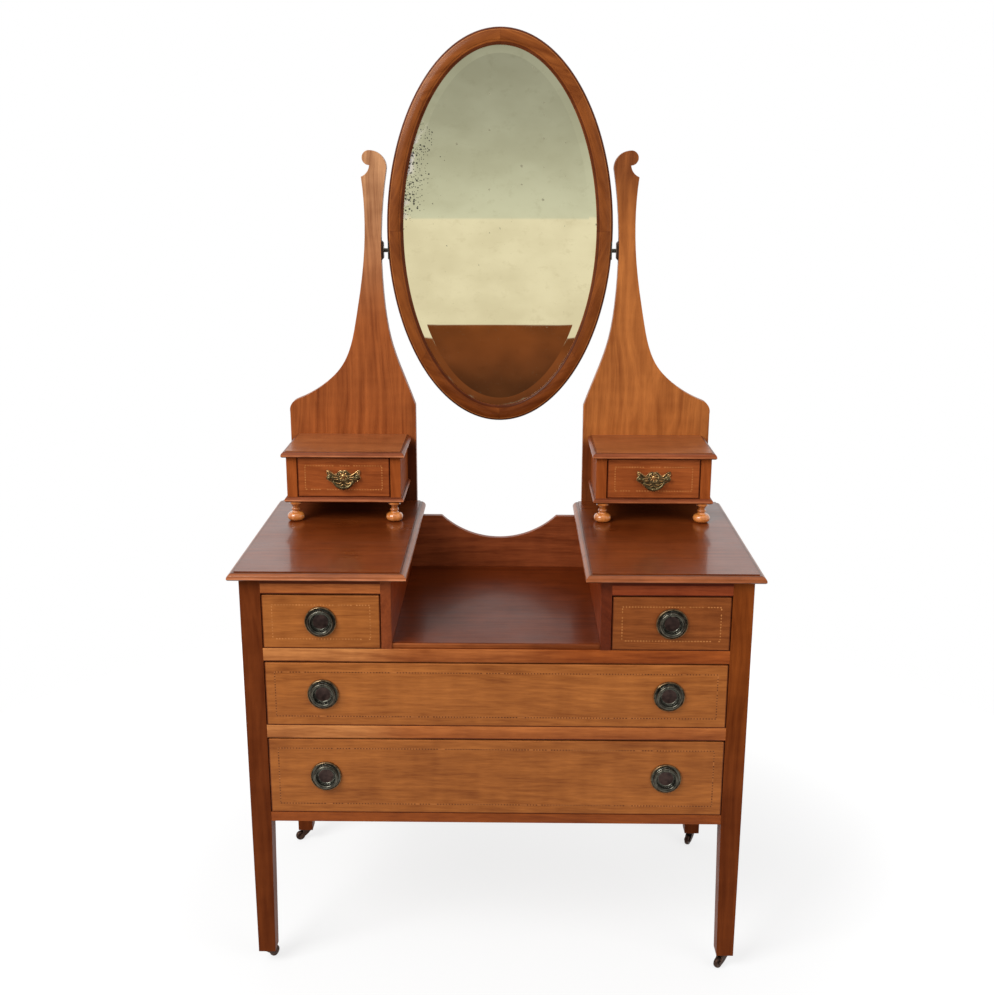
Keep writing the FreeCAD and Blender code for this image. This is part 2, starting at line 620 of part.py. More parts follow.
def standard_outline():
    base_out = STANDARD_INNER_X + STANDARD_BASE_WIDTH
    bottom = TOP_Z - STANDARD_FOOT_DROP
    shoulder = TOP_Z + STANDARD_SHOULDER_RISE
    flare_x = base_out - STANDARD_SHOULDER_WIDTH
    flare_z = shoulder + STANDARD_SHOULDER_HEIGHT
    inner_z = TOP_Z + STANDARD_FLARE_RISE
    neck_out = NECK_X + NECK_WIDTH
    head = TOP_Z + HEAD_RISE
    lobe_x = neck_out + HOOK_SPREAD + HOOK_LEAN - BITE_RADIUS
    notch_z = head - 2 * LOBE_RADIUS
    slant = math.sqrt(0.5)

    def at(x, z):
        return Vector(x, BACK_Y, z)

    outer = [at(flare_x, flare_z)]
    outer += [at(neck_out + left * (flare_x - neck_out), flare_z + rise * (PIVOT_Z - flare_z))
              for left, rise in OUTER_FLARE]
    tip = at(neck_out + HOOK_SPREAD, TOP_Z + HOOK_RISE)
    outer += [at(neck_out, TOP_Z + NECK_RISE), tip]
    inner = [at(STANDARD_INNER_X, inner_z)]
    inner += [at(NECK_X - left * (NECK_X - STANDARD_INNER_X), inner_z + rise * (PIVOT_Z - inner_z))
              for left, rise in INNER_FLARE]
    crown = at(lobe_x - CROWN_RADIUS, head - CROWN_RADIUS)
    inner += [at(NECK_X, PIVOT_Z), crown]
    notch = at(lobe_x, notch_z)
    lobe = at(lobe_x + LOBE_RADIUS, head - LOBE_RADIUS)
    summit = at(lobe_x, head)
    bite = at(lobe_x + BITE_RADIUS * (1 - slant), notch_z - BITE_RADIUS * slant)
    crown_middle = at(lobe_x - CROWN_RADIUS * slant, head - CROWN_RADIUS * (1 - slant))
    low_out = at(base_out, bottom)
    low_in = at(STANDARD_INNER_X, bottom)
    shoulder_foot = at(base_out, shoulder)
    round_x = base_out - STANDARD_SHOULDER_WIDTH * (1 - slant)
    rounding = at(round_x, shoulder + STANDARD_SHOULDER_HEIGHT * slant)
    outer_curve = Part.BSplineCurve()
    outer_curve.interpolate(outer)
    inner_curve = Part.BSplineCurve()
    inner_curve.interpolate(inner[::-1])
    edges = [line(low_in, low_out), line(low_out, shoulder_foot), arc(shoulder_foot, rounding, outer[0])]
    edges += [outer_curve.toShape(), arc(tip, bite, notch), arc(notch, lobe, summit)]
    edges += [arc(summit, crown_middle, crown), inner_curve.toShape(), line(inner[0], low_in)]
    return edges


def pivot_block(x0, x1, height):
    """A block as wide as the pivot plates, centred on the mirror's pivot."""
    half = height / 2
    wide = PIVOT_PLATE_WIDTH / 2
    return box(x0, x1, PIVOT_Y - wide, PIVOT_Y + wide, PIVOT_Z - half, PIVOT_Z + half)


def pivot_rod(radius, x0, x1):
    return cylinder_x(radius, x0, x1, PIVOT_Y, PIVOT_Z)


def pivot_bracket():
    """A plate let into the standard's inner edge, with a bored boss for the mirror's pin."""
    tip = NECK_X - PIVOT_BOSS_LENGTH
    back = NECK_X + PIVOT_PLATE_THICKNESS
    plate = pivot_block(NECK_X, back, PIVOT_PLATE_HEIGHT)
    boss = pivot_rod(PIVOT_BOSS_RADIUS, tip, NECK_X)
    bore = pivot_rod(PIVOT_PIN_RADIUS + RUNNING_CLEARANCE, tip, back)
    return plate.fuse(boss).cut(bore)


def build_standards():
    board = prism(standard_outline(), Vector(0, STANDARD_THICKNESS, 0))
    mortise_end = NECK_X + PIVOT_PLATE_THICKNESS
    mortise = pivot_block(NECK_X - PIVOT_BOSS_LENGTH, mortise_end, PIVOT_PLATE_HEIGHT)
    save("mirror_standards", pair(board.cut(mortise)))
    save("pivot_brackets", pair(pivot_bracket()))


# Oval mirror: a moulded frame, a bevelled glass and a backboard

def oval(inset, y):
    """An oval parallel to the mirror's outline, drawn in from it by the inset."""
    centre = Vector(0, y, MIRROR_Z)
    top = Vector(0, y, MIRROR_Z + MIRROR_HEIGHT / 2 - inset)
    side = Vector(MIRROR_WIDTH / 2 - inset, y, MIRROR_Z)
    return Part.Wire([Part.Ellipse(top, side, centre).toShape()])


def oval_solid(*steps):
    """Straight-sided slices between ovals at (inset, y), joined one behind the other."""
    solid = None
    for first, second in zip(steps, steps[1:]):
        slice_solid = Part.makeLoft([oval(*first), oval(*second)], True, True)
        solid = slice_solid if solid is None else solid.fuse(slice_solid)
    return solid.removeSplitter()


def mirror_frame():
    front = BACK_Y
    back = BACK_Y + STANDARD_THICKNESS
    turn = FRAME_EDGE_ROUND
    slant = turn * (1 - math.sqrt(0.5))
    outside = oval_solid((turn, front), (slant, front + slant), (0, front + turn), (0, back))
    hollow = FRAME_FACE_WIDTH - FRAME_HOLLOW_WIDTH
    sight = FRAME_FACE_WIDTH
    slope_end = front + FRAME_HOLLOW_DEPTH
    inside = oval_solid((hollow, front), (sight, slope_end), (sight, front + FRAME_LIP))
    rabbet = oval_solid((sight - RABBET_WIDTH, front + FRAME_LIP), (sight - RABBET_WIDTH, back))
    return cut_all(outside, [inside, rabbet])


def mirror_glass():
    edge = FRAME_FACE_WIDTH - RABBET_WIDTH + GLASS_FIT
    front = BACK_Y + FRAME_LIP
    back = front + GLASS_THICKNESS
    return oval_solid((edge + GLASS_BEVEL, front), (edge, back - GLASS_EDGE), (edge, back))


def mirror_backboard():
    edge = FRAME_FACE_WIDTH - RABBET_WIDTH
    front = BACK_Y + FRAME_LIP + GLASS_THICKNESS
    return oval_solid((edge, front), (edge, front + BACKBOARD_THICKNESS))


def frame_pivot():
    """A plate let into the frame's edge, with the pin that turns in the standard's boss."""
    inner = MIRROR_WIDTH / 2 - FRAME_PLATE_SINK
    plate = pivot_block(inner, inner + FRAME_PLATE_THICKNESS, FRAME_PLATE_HEIGHT)
    return plate.fuse(pivot_rod(PIVOT_PIN_RADIUS, inner, NECK_X)).removeSplitter()


def frame_mortise():
    edge = MIRROR_WIDTH / 2
    return pivot_block(edge - FRAME_PLATE_SINK, edge, FRAME_PLATE_HEIGHT)


def build_mirror():
    save("mirror_frame", [cut_all(mirror_frame(), pair(frame_mortise()))])
    save("mirror_glass", [mirror_glass()])
    save("mirror_backboard", [mirror_backboard()])
    save("mirror_pivots", pair(frame_pivot()))


# Ring pulls: a dished round plate with a lug, and a ring whose pin turns in the lug

def ring_axis_y():
    return -(PULL_PLATE_THICKNESS + RING_BACK_GAP + RING_TUBE_RADIUS)


def pull_plate():
    """The plate and lug of a ring pull, centred on the drawer's face at y=0."""
    def at(radius, height):
        return Vector(radius, -height, 0)

    rim = PULL_PLATE_RADIUS - PULL_RIM_WIDTH
    crest = PULL_PLATE_THICKNESS + PULL_RIM_HEIGHT
    flat = PULL_PLATE_THICKNESS
    dish = PULL_PLATE_THICKNESS - PULL_DISH_DEPTH
    back_edge = at(PULL_PLATE_RADIUS, 0)
    front_edge = at(PULL_PLATE_RADIUS, flat)
    edges = [line(at(0, 0), back_edge), line(back_edge, front_edge)]
    edges += [arc(front_edge, at(rim + PULL_RIM_WIDTH / 2, crest), at(rim, flat))]
    edges += [line(at(rim, flat), at(PULL_DISH_RADIUS, flat))]
    bowl_radius = (PULL_DISH_RADIUS ** 2 + PULL_DISH_DEPTH ** 2) / (2 * PULL_DISH_DEPTH)
    half_dish = PULL_DISH_RADIUS / 2
    bowl = at(half_dish, dish + bowl_radius - math.sqrt(bowl_radius ** 2 - half_dish ** 2))
    edges += [arc(at(PULL_DISH_RADIUS, flat), bowl, at(0, dish)), line(at(0, dish), at(0, 0))]
    plate = Part.Face(Part.Wire(edges)).revolve(Vector(0, 0, 0), Vector(0, 1, 0), 360)
    half = LUG_WIDTH / 2
    pin_y = ring_axis_y()
    lug = cylinder_x(RING_TUBE_RADIUS, -half, half, pin_y, RING_RADIUS)
    neck_half = LUG_NECK_HEIGHT / 2
    neck = box(-half, half, pin_y, -flat / 2, RING_RADIUS - neck_half, RING_RADIUS + neck_half)
    bore = cylinder_x(RING_PIN_RADIUS + RUNNING_CLEARANCE, -half, half, pin_y, RING_RADIUS)
    return plate.fuse([lug, neck]).cut(bore).removeSplitter()


def pull_ring():
    """A round-section ring, open at the lug, where a slim pin joins its two ends."""
    pin_y = ring_axis_y()
    torus = Part.makeTorus(RING_RADIUS, RING_TUBE_RADIUS, Vector(0, pin_y, 0), Vector(0, 1, 0))
    half = LUG_WIDTH / 2 + LUG_SIDE_GAP
    reach = RING_TUBE_RADIUS * 2
    gap = box(-half, half, pin_y - reach, pin_y + reach, 0, RING_RADIUS + reach)
    pin_end = half + RING_PIN_RADIUS
    pin = cylinder_x(RING_PIN_RADIUS, -pin_end, pin_end, pin_y, RING_RADIUS)
    return torus.cut(gap).fuse(pin)


# Drop handles of the trinket drawers: a lobed plate with two posts, and a swelling bail

def bail_post_x():
    return BAIL_RADIUS + BAIL_END_RADIUS + BAIL_POST_GAP + BAIL_POST_RADIUS


def bail_plate():
    post_x = bail_post_x()
    lobes = [(0.0, 0.0, BAIL_ROSETTE_RADIUS)]
    posts = []
    for side in (-1, 1):
        middle_x = side * post_x / 2
        lobes += [(middle_x, BAIL_LOBE_RISE, BAIL_UPPER_LOBE_RADIUS)]
        lobes += [(middle_x, -BAIL_LOBE_RISE, BAIL_LOWER_LOBE_RADIUS)]
        lobes += [(side * post_x, 0.0, BAIL_EAR_RADIUS)]
        posts.append(cylinder_y(BAIL_POST_RADIUS, -BAIL_STANDOFF - BAIL_POST_RADIUS, 0, side * post_x, 0))
    discs = [cylinder_y(radius, -BAIL_PLATE_THICKNESS, 0, x, z) for x, z, radius in lobes]
    plate = discs[0].fuse(discs[1:] + posts)
    reach = post_x - BAIL_POST_RADIUS + BAIL_PIN_ENGAGEMENT + RUNNING_CLEARANCE
    bore = cylinder_x(BAIL_PIN_RADIUS + RUNNING_CLEARANCE, -reach, reach, -BAIL_STANDOFF, 0)
    return plate.cut(bore).removeSplitter()


def bail():
    """A half-round bail that swells to the middle of the grip, with a pin at each end."""
    sections = []
    for index in range(BAIL_SPANS + 1):
        angle = math.pi * index / BAIL_SPANS
        centre = Vector(-BAIL_RADIUS * math.cos(angle), -BAIL_STANDOFF, -BAIL_RADIUS * math.sin(angle))
        along = Vector(math.sin(angle), 0, -math.cos(angle))
        radius = BAIL_END_RADIUS + BAIL_SWELL * math.sin(angle) ** 2
        sections.append(Part.Wire([Part.Circle(centre, along, radius).toShape()]))
    grip = Part.makeLoft(sections, True, False)
    pin_end = bail_post_x() - BAIL_POST_RADIUS + BAIL_PIN_ENGAGEMENT
    pieces = []
    for side in (-1, 1):
        end = Part.makeSphere(BAIL_END_RADIUS, Vector(side * BAIL_RADIUS, -BAIL_STANDOFF, 0))
        low, high = sorted((side * BAIL_RADIUS, side * pin_end))
        pieces += [end, cylinder_x(BAIL_PIN_RADIUS, low, high, -BAIL_STANDOFF, 0)]
    return grip.fuse(pieces).removeSplitter()


def build_handles():
    levels = {
        "lower_drawer": (LOWER_Z + LOWER_OPENING_HEIGHT / 2, (-PULL_X, PULL_X)),
        "upper_drawer": (UPPER_Z + UPPER_OPENING_HEIGHT / 2, (-PULL_X, PULL_X)),
        "left_drawer": (SMALL_Z + SMALL_OPENING_HEIGHT / 2, (-PULL_X,)),
        "right_drawer": (SMALL_Z + SMALL_OPENING_HEIGHT / 2, (PULL_X,)),
    }
    plate = pull_plate()
    ring = pull_ring()
    for node, (z, places) in levels.items():
        save(node + "_plates", [moved(plate, x, FACE_Y, z) for x in places])
        for x in places:
            suffix = "" if len(places) == 1 else ("_left" if x < 0 else "_right")
            save(node + "_ring" + suffix, [moved(ring, x, FACE_Y, z)])
    z = BOX_OPENING_Z + BOX_OPENING_HEIGHT / 2
    for node, x in (("left_trinket_drawer", -BOX_CENTRE_X), ("right_trinket_drawer", BOX_CENTRE_X)):
        save(node + "_plate", [moved(bail_plate(), x, BOX_FACE_Y, z)])
        save(node + "_bail", [moved(bail(), x, BOX_FACE_Y, z)])


# Casters: a riveted plate under each leg, a swivelling fork and a wheel

def caster_plate():
    low = CASTER_HEIGHT - CASTER_PLATE_THICKNESS
    plate = Part.makeCylinder(CASTER_PLATE_RADIUS, CASTER_PLATE_THICKNESS, Vector(0, 0, low))
    drop = CASTER_COLLAR_GAP + CASTER_COLLAR_HEIGHT
    rivet = Part.makeCylinder(CASTER_RIVET_RADIUS, drop, Vector(0, 0, low - drop))
    return plate.fuse(rivet).removeSplitter()


def caster_fork():
    """A bored collar that sweeps down into two cheeks, with the axle between them; it trails along +X."""
    half = WHEEL_WIDTH / 2 + WHEEL_SIDE_GAP + CASTER_CHEEK_THICKNESS
    top = CASTER_HEIGHT - CASTER_PLATE_THICKNESS - CASTER_COLLAR_GAP
    low = top - CASTER_COLLAR_HEIGHT
    nose = CASTER_AXLE_RADIUS + CASTER_CHEEK_THICKNESS
    heel = Vector(-CASTER_COLLAR_RADIUS, -half, top)
    heel_low = Vector(-CASTER_COLLAR_RADIUS, -half, low)
    under = Vector(CASTER_TRAIL, -half, WHEEL_RADIUS - nose)
    tip = Vector(CASTER_TRAIL + nose, -half, WHEEL_RADIUS)
    over = Vector(CASTER_TRAIL, -half, WHEEL_RADIUS + nose)
    brow = Vector(CASTER_COLLAR_RADIUS, -half, top)
    sag = Vector(0, -half, (low + under.z) / 2)
    edges = [line(heel, heel_low), arc(heel_low, sag, under), arc(under, tip, over)]
    edges += [line(over, brow), line(brow, heel)]
    fork = prism(edges, Vector(0, 2 * half, 0))
    room = WHEEL_WIDTH / 2 + WHEEL_SIDE_GAP
    slot = cylinder_y(WHEEL_RADIUS + WHEEL_RIM_GAP, -room, room, CASTER_TRAIL, WHEEL_RADIUS)
    bore = Part.makeCylinder(CASTER_RIVET_RADIUS + RUNNING_CLEARANCE, CASTER_HEIGHT)
    axle = cylinder_y(CASTER_AXLE_RADIUS, -half, half, CASTER_TRAIL, WHEEL_RADIUS)
    return [cut_all(fork, [slot, bore, axle]), axle]


def caster_wheel():
    """A wheel with a crowned tread, turned about the axle."""
    half = WHEEL_WIDTH / 2
    hole = CASTER_AXLE_RADIUS + RUNNING_CLEARANCE
    edge = WHEEL_RADIUS - WHEEL_CROWN

    def at(radius, y):
        return Vector(CASTER_TRAIL, y, WHEEL_RADIUS + radius)

    tread = arc(at(edge, -half), at(WHEEL_RADIUS, 0), at(edge, half))
    edges = [line(at(hole, -half), at(edge, -half)), tread]
    edges += [line(at(edge, half), at(hole, half)), line(at(hole, half), at(hole, -half))]
    profile = Part.Face(Part.Wire(edges))
    return profile.revolve(Vector(CASTER_TRAIL, 0, WHEEL_RADIUS), Vector(0, 1, 0), 360)


def turned(shape, degrees, x, y):
    copy = shape.copy()
    copy.rotate(Vector(0, 0, 0), Vector(0, 0, 1), degrees)
    return moved(copy, x, y, 0)


def build_casters():
    centre_x = CASE_X - LEG_FOOT_SIZE / 2
    rows = {"front": FACE_Y + LEG_FOOT_SIZE / 2, "rear": BACK_Y - LEG_FOOT_SIZE / 2}
    plates = []
    for row, y in rows.items():
        for side, sign in (("left", -1), ("right", 1)):
            corner = row + "_" + side
            degrees = CASTER_TRAIL_ANGLES[corner]
            x = sign * centre_x
            plates.append(moved(caster_plate(), x, y, 0))
            save("caster_fork_" + corner, [turned(solid, degrees, x, y) for solid in caster_fork()])
            save("caster_wheel_" + corner, [turned(caster_wheel(), degrees, x, y)])
    save("caster_plates", plates)


os.makedirs("parts", exist_ok=True)
build_carcase()
build_drawers()
build_trinket_boxes()
build_standards()
build_mirror()
build_handles()
build_casters()
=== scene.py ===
import bmesh
import bpy
import json
import math
from mathutils import Matrix, Vector

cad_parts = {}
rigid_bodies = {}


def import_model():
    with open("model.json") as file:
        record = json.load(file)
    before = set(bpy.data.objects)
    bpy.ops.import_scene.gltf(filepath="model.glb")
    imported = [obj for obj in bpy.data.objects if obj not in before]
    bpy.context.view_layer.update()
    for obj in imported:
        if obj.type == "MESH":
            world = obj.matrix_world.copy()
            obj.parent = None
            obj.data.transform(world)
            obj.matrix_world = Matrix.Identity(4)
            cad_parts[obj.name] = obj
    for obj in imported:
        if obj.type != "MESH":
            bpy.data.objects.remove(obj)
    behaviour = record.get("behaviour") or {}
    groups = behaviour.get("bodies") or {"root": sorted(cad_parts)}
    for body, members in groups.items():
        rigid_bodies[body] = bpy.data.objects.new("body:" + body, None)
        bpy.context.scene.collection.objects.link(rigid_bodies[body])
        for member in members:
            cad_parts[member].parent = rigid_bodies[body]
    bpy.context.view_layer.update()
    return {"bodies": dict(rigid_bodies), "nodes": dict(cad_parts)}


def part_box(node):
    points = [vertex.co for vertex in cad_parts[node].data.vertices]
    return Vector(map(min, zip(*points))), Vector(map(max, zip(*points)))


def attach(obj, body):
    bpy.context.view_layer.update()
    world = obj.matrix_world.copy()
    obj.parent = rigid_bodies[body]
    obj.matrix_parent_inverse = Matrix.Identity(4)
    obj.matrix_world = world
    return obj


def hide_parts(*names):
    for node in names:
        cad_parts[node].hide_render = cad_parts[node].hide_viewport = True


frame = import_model()

bl_info = {
    "name": "Dressing Table",
    "version": (1, 0, 0),
    "blender": (4, 5, 0),
    "location": "View3D > Sidebar > Dressing Table",
    "description": "Dresses the packed table in polished wood, stringing, handles and a bevelled mirror",
    "category": "Add Mesh",
}

MM = 0.001
TURN = 2 * math.pi


def linear(red, green, blue):
    """Scene colour of an 8-bit display colour."""
    shares = (value / 255 for value in (red, green, blue))
    return tuple(v / 12.92 if v <= 0.04045 else ((v + 0.055) / 1.055) ** 2.4 for v in shares)


def size(name, description, value):
    """A length property, its default given in millimetres."""
    return bpy.props.FloatProperty(name=name, description=description, default=value * MM, min=0.0,
                                   precision=4, unit="LENGTH", subtype="DISTANCE")


def colour(name, description, *display):
    """A colour property, its default given as an 8-bit display colour."""
    return bpy.props.FloatVectorProperty(name=name, description=description, default=linear(*display),
                                         size=3, min=0.0, max=1.0, subtype="COLOR")


class TableSizes(bpy.types.PropertyGroup):
    """Sizes of the table's trim that a maker would change."""

    edge_round: size("Edge rounding", "Radius that sanding leaves on the arrises of boards", 0.6)
    stringing_inset: size("Stringing inset", "From a front's edge to the middle of its stringing", 17.0)
    box_stringing_inset: size("Box stringing inset", "The same on the small drawers of the boxes", 14.5)
    stringing_width: size("Stringing width", "Width of the chequered line", 2.2)
    stringing_step: size("Stringing step", "Length of one light and one dark chequer together", 5.2)
    ring_thickness: size("Ring thickness", "Thickness of a drop ring at its bottom", 6.8)
    bead: size("Plate bead", "Radius of the beads round a ring plate's dish", 1.15)
    bail_thickness: size("Handle thickness", "Thickness of a drop handle at its middle", 7.0)
    nail_head: size("Nail head", "Radius of the nails and panel pins at the back", 2.2)
    screw_head: size("Screw head", "Radius of the slotted screws", 4.2)


class TableColours(bpy.types.PropertyGroup):
    """Colours of the table's woods, metals and glass."""

    legs: colour("Legs", "Red-brown polish of the legs and sides", 107, 49, 19)
    rails: colour("Rails", "Polish of the rails between the drawers", 169, 95, 46)
    right_rail: colour("Right rail", "Redder polish of the right pedestal's top rail", 142, 62, 30)
    # The bottom rail's darker colour is painted shade under the drawers.
    low_rail: colour("Bottom rail", "Darker polish of the bottom rail", 138, 67, 24)
    drawers: colour("Drawer fronts", "Golden brown of the drawer fronts", 160, 92, 41)
    dark_drawer: colour("Darker front", "The right small drawer's darker board", 130, 68, 29)
    box_fronts: colour("Box fronts", "Red-brown of the trinket boxes' fronts and sides", 148, 74, 32)
    tops: colour("Tops", "Dark red-brown polish of the tops", 114, 51, 17)
    # Painted light: the tops' mouldings lighter where light falls on them.
    top_edges: colour("Top mouldings", "Worn polish of the tops' moulded edges", 140, 74, 37)
    # Painted highlight along the tips of the tops' mouldings.
    top_tips: colour("Top tips", "Pale wear along the tips of the tops' mouldings", 176, 104, 66)
    walls: colour("Recess walls", "Deep polish of the sunk shelf's walls", 128, 50, 11)
    lippings: colour("Lipping", "Front edge of the left recess wall", 128, 60, 27)
    # The right lipping's darker colour is painted shade.
    shaded_lipping: colour("Dark lipping", "Front edge of the right recess wall", 92, 34, 13)
    scooped_back: colour("Scooped back", "Deep polish of the board behind the shelf", 139, 68, 34)
    shelf: colour("Shelf", "Deep polish of the sunk shelf", 98, 39, 10)
    standards: colour("Standards", "Orange-brown polish of the mirror's standards", 160, 90, 42)
    oval: colour("Mirror frame", "Red-brown polish of the oval frame", 132, 70, 28)
    # Painted shade: the frame's outer edge and lip darker.
    oval_edge: colour("Frame edges", "Darker polish at the oval frame's outer edge and lip", 92, 42, 17)
    boxes: colour("Boxes", "Polish of the trinket boxes' tops", 156, 90, 50)
    box_edges: colour("Box mouldings", "Darker polish of the boxes' moulded edges", 132, 66, 36)
    # Painted highlight along the tips of the boxes' mouldings.
    box_tips: colour("Box tips", "Pale wear along the tips of the boxes' mouldings", 176, 104, 64)
    feet: colour("Bun feet", "Golden polish of the turned feet", 204, 122, 56)
    pine: colour("Pine", "Bare pine of the drawer linings and backs", 196, 156, 104)
    light_string: colour("Light stringing", "Faded light wood of the stringing", 172, 104, 52)
    pale_string: colour("Pale stringing", "Palest chequers, on the small drawers", 198, 130, 72)
    dark_string: colour("Dark stringing", "Stained chequers, on the long drawers", 98, 50, 22)
    bronze: colour("Bronze", "Dark bronzed brass of the ring pulls", 78, 77, 69)
    rim: colour("Rims", "Worn gilding on the rims of the ring pulls' plates", 116, 94, 68)
    dish: colour("Dish", "Brown lacquer left in the ring plates' dishes", 64, 50, 47)
    brass: colour("Brass", "Darkened ground of the drop handles", 106, 94, 64)
    rubbed_brass: colour("Rubbed brass", "Raised work of the drop handles, rubbed bright", 206, 164, 108)
    iron: colour("Iron", "Worn iron of the casters", 62, 44, 36)
    silver: colour("Mirror", "Tint of the old silvering", 236, 230, 192)


def tone_of(name):
    """The scene's own value of one of the table's colours."""
    return tuple(getattr(bpy.context.scene.table_colours, name))


class Wire:
    """A shader socket. Arithmetic on it adds Math or Vector Math nodes to its tree."""

    def __init__(self, tree, socket=None):
        self.tree = tree
        self.socket = socket

    def node(self, kind, settings=None, inputs=None, output=0):
        """Adds a node, with its settings first and then its sockets, and gives the wire of one output."""
        made = self.tree.nodes.new(kind)
        for key, value in (settings or {}).items():
            if key == "stops":
                self.set_stops(made.color_ramp, value)
            else:
                setattr(made, key, value)
        for key, value in (inputs or {}).items():
            self.feed(made.inputs[key], value)
        return Wire(self.tree, made.outputs[output])

    def feed(self, socket, value):
        """Links a wire to a socket, or sets a plain value on it."""
        if isinstance(value, Wire):
            self.tree.links.new(value.socket, socket)
        else:
            socket.default_value = value

    @staticmethod
    def set_stops(ramp, stops):
        """Gives a colour ramp its stops of place and colour."""
        while len(ramp.elements) < len(stops):
            ramp.elements.new(1.0)
        for element, (place, tint) in zip(ramp.elements, stops):
            element.position = place
            element.color = (*tint, 1.0)

    def sum_of(self, operation, left, right):
        """A Math node, or a Vector Math node where either side is a vector."""
        sides = (left, right)
        if any(isinstance(side, Wire) and side.socket.type == "VECTOR" for side in sides):
            sides = [(side,) * 3 if isinstance(side, (int, float)) else side for side in sides]
            return self.node("ShaderNodeVectorMath", {"operation": operation}, dict(enumerate(sides)))
        return self.node("ShaderNodeMath", {"operation": operation}, dict(enumerate(sides)))

    def __add__(self, other):
        return self.sum_of("ADD", self, other)

    def __radd__(self, other):
        return self.sum_of("ADD", other, self)

    def __sub__(self, other):
        return self.sum_of("SUBTRACT", self, other)

    def __rsub__(self, other):
        return self.sum_of("SUBTRACT", other, self)

    def __mul__(self, other):
        return self.sum_of("MULTIPLY", self, other)

    def __rmul__(self, other):
        return self.sum_of("MULTIPLY", other, self)

    def __truediv__(self, other):
        return self.sum_of("DIVIDE", self, other)

    def __rtruediv__(self, other):
        return self.sum_of("DIVIDE", other, self)

    def __pow__(self, other):
        return self.sum_of("POWER", self, other)

    def __rpow__(self, other):
        return self.sum_of("POWER", other, self)

    def least(self, other):
        return self.sum_of("MINIMUM", self, other)

    def most(self, other):
        return self.sum_of("MAXIMUM", self, other)

    def unsigned(self):
        """The value without its sign."""
        return self.node("ShaderNodeMath", {"operation": "ABSOLUTE"}, {0: self})

    def dot(self, other):
        settings = {"operation": "DOT_PRODUCT"}
        return self.node("ShaderNodeVectorMath", settings, {0: self, 1: other}, "Value")

    def parts(self):
        """The three components of a vector."""
        made = self.node("ShaderNodeSeparateXYZ", {}, {0: self}).socket.node
        return [Wire(self.tree, socket) for socket in made.outputs]

    def vector(self, *parts):
        return self.node("ShaderNodeCombineXYZ", {}, dict(enumerate(parts)))

    def smooth(self, low, high):
        """Rises smoothly from 0 at low to 1 at high."""
        settings = {"interpolation_type": "SMOOTHSTEP"}
        return self.node("ShaderNodeMapRange", settings, {0: self, 1: low, 2: high})

    def mix(self, first, second):
        """A colour between two, with this wire as the factor."""
        ends = [side if isinstance(side, Wire) else (*side, 1.0) for side in (first, second)]
        return self.node("ShaderNodeMix", {"data_type": "RGBA"}, {0: self, 6: ends[0], 7: ends[1]}, 2)

    def noise(self, scale, detail, roughness=0.5):
        """Noise over this place, its coordinates multiplied by scale per metre."""
        inputs = {"Vector": self * scale, "Scale": 1.0, "Detail": detail, "Roughness": roughness}
        return self.node("ShaderNodeTexNoise", {}, inputs)

    def bands(self, per_metre, detail):
        """Noise along one value."""
        inputs = {"W": self * per_metre, "Scale": 1.0, "Detail": detail, "Roughness": 0.6}
        return self.node("ShaderNodeTexNoise", {"noise_dimensions": "1D"}, inputs)

    def bump(self, strength, distance):
        inputs = {"Strength": strength, "Distance": distance, "Height": self}
        return self.node("ShaderNodeBump", {}, inputs, "Normal")

    def arris(self, radius):
        """High along sharp edges, within about radius of them."""
        rounded = self.node("ShaderNodeBevel", {"samples": 4}, {"Radius": radius})
        normal = self.node("ShaderNodeNewGeometry", output="Normal")
        return 1 - rounded.dot(normal)

    def openness(self, distance):
        """1 on open surfaces, falling towards 0 in crevices."""
        settings = {"samples": 4, "only_local": True}
        return self.node("ShaderNodeAmbientOcclusion", settings, {"Distance": distance}, "AO")


def tinted(base, *shares):
    """A colour, plain or on a wire, with each channel multiplied."""
    if isinstance(base, Wire):
        settings = {"data_type": "RGBA", "blend_type": "MULTIPLY"}
        return base.node("ShaderNodeMix", settings, {0: 1.0, 6: base, 7: (*shares, 1.0)}, 2)
    return tuple(min(value * share, 0.95) for value, share in zip(base, shares))


# What the viewport shows in place of a material's nodes.
VIEWPORT_BROWN = (0.3, 0.15, 0.08, 1.0)


def surface(name, constants, paint):
    """A material on the principled shader, made once. paint gives the wires of the sockets that vary."""
    known = bpy.data.materials.get(name)
    if known:
        return known
    made = bpy.data.materials.new(name)
    made.use_nodes = True
    tree = made.node_tree
    shader = next(node for node in tree.nodes if node.type == "BSDF_PRINCIPLED")
    start = Wire(tree)
    place = start.node("ShaderNodeTexCoord", output="Object")
    for socket, value in {**constants, **paint(place)}.items():
        start.feed(shader.inputs[socket], value)
    made.diffuse_color = VIEWPORT_BROWN
    return made


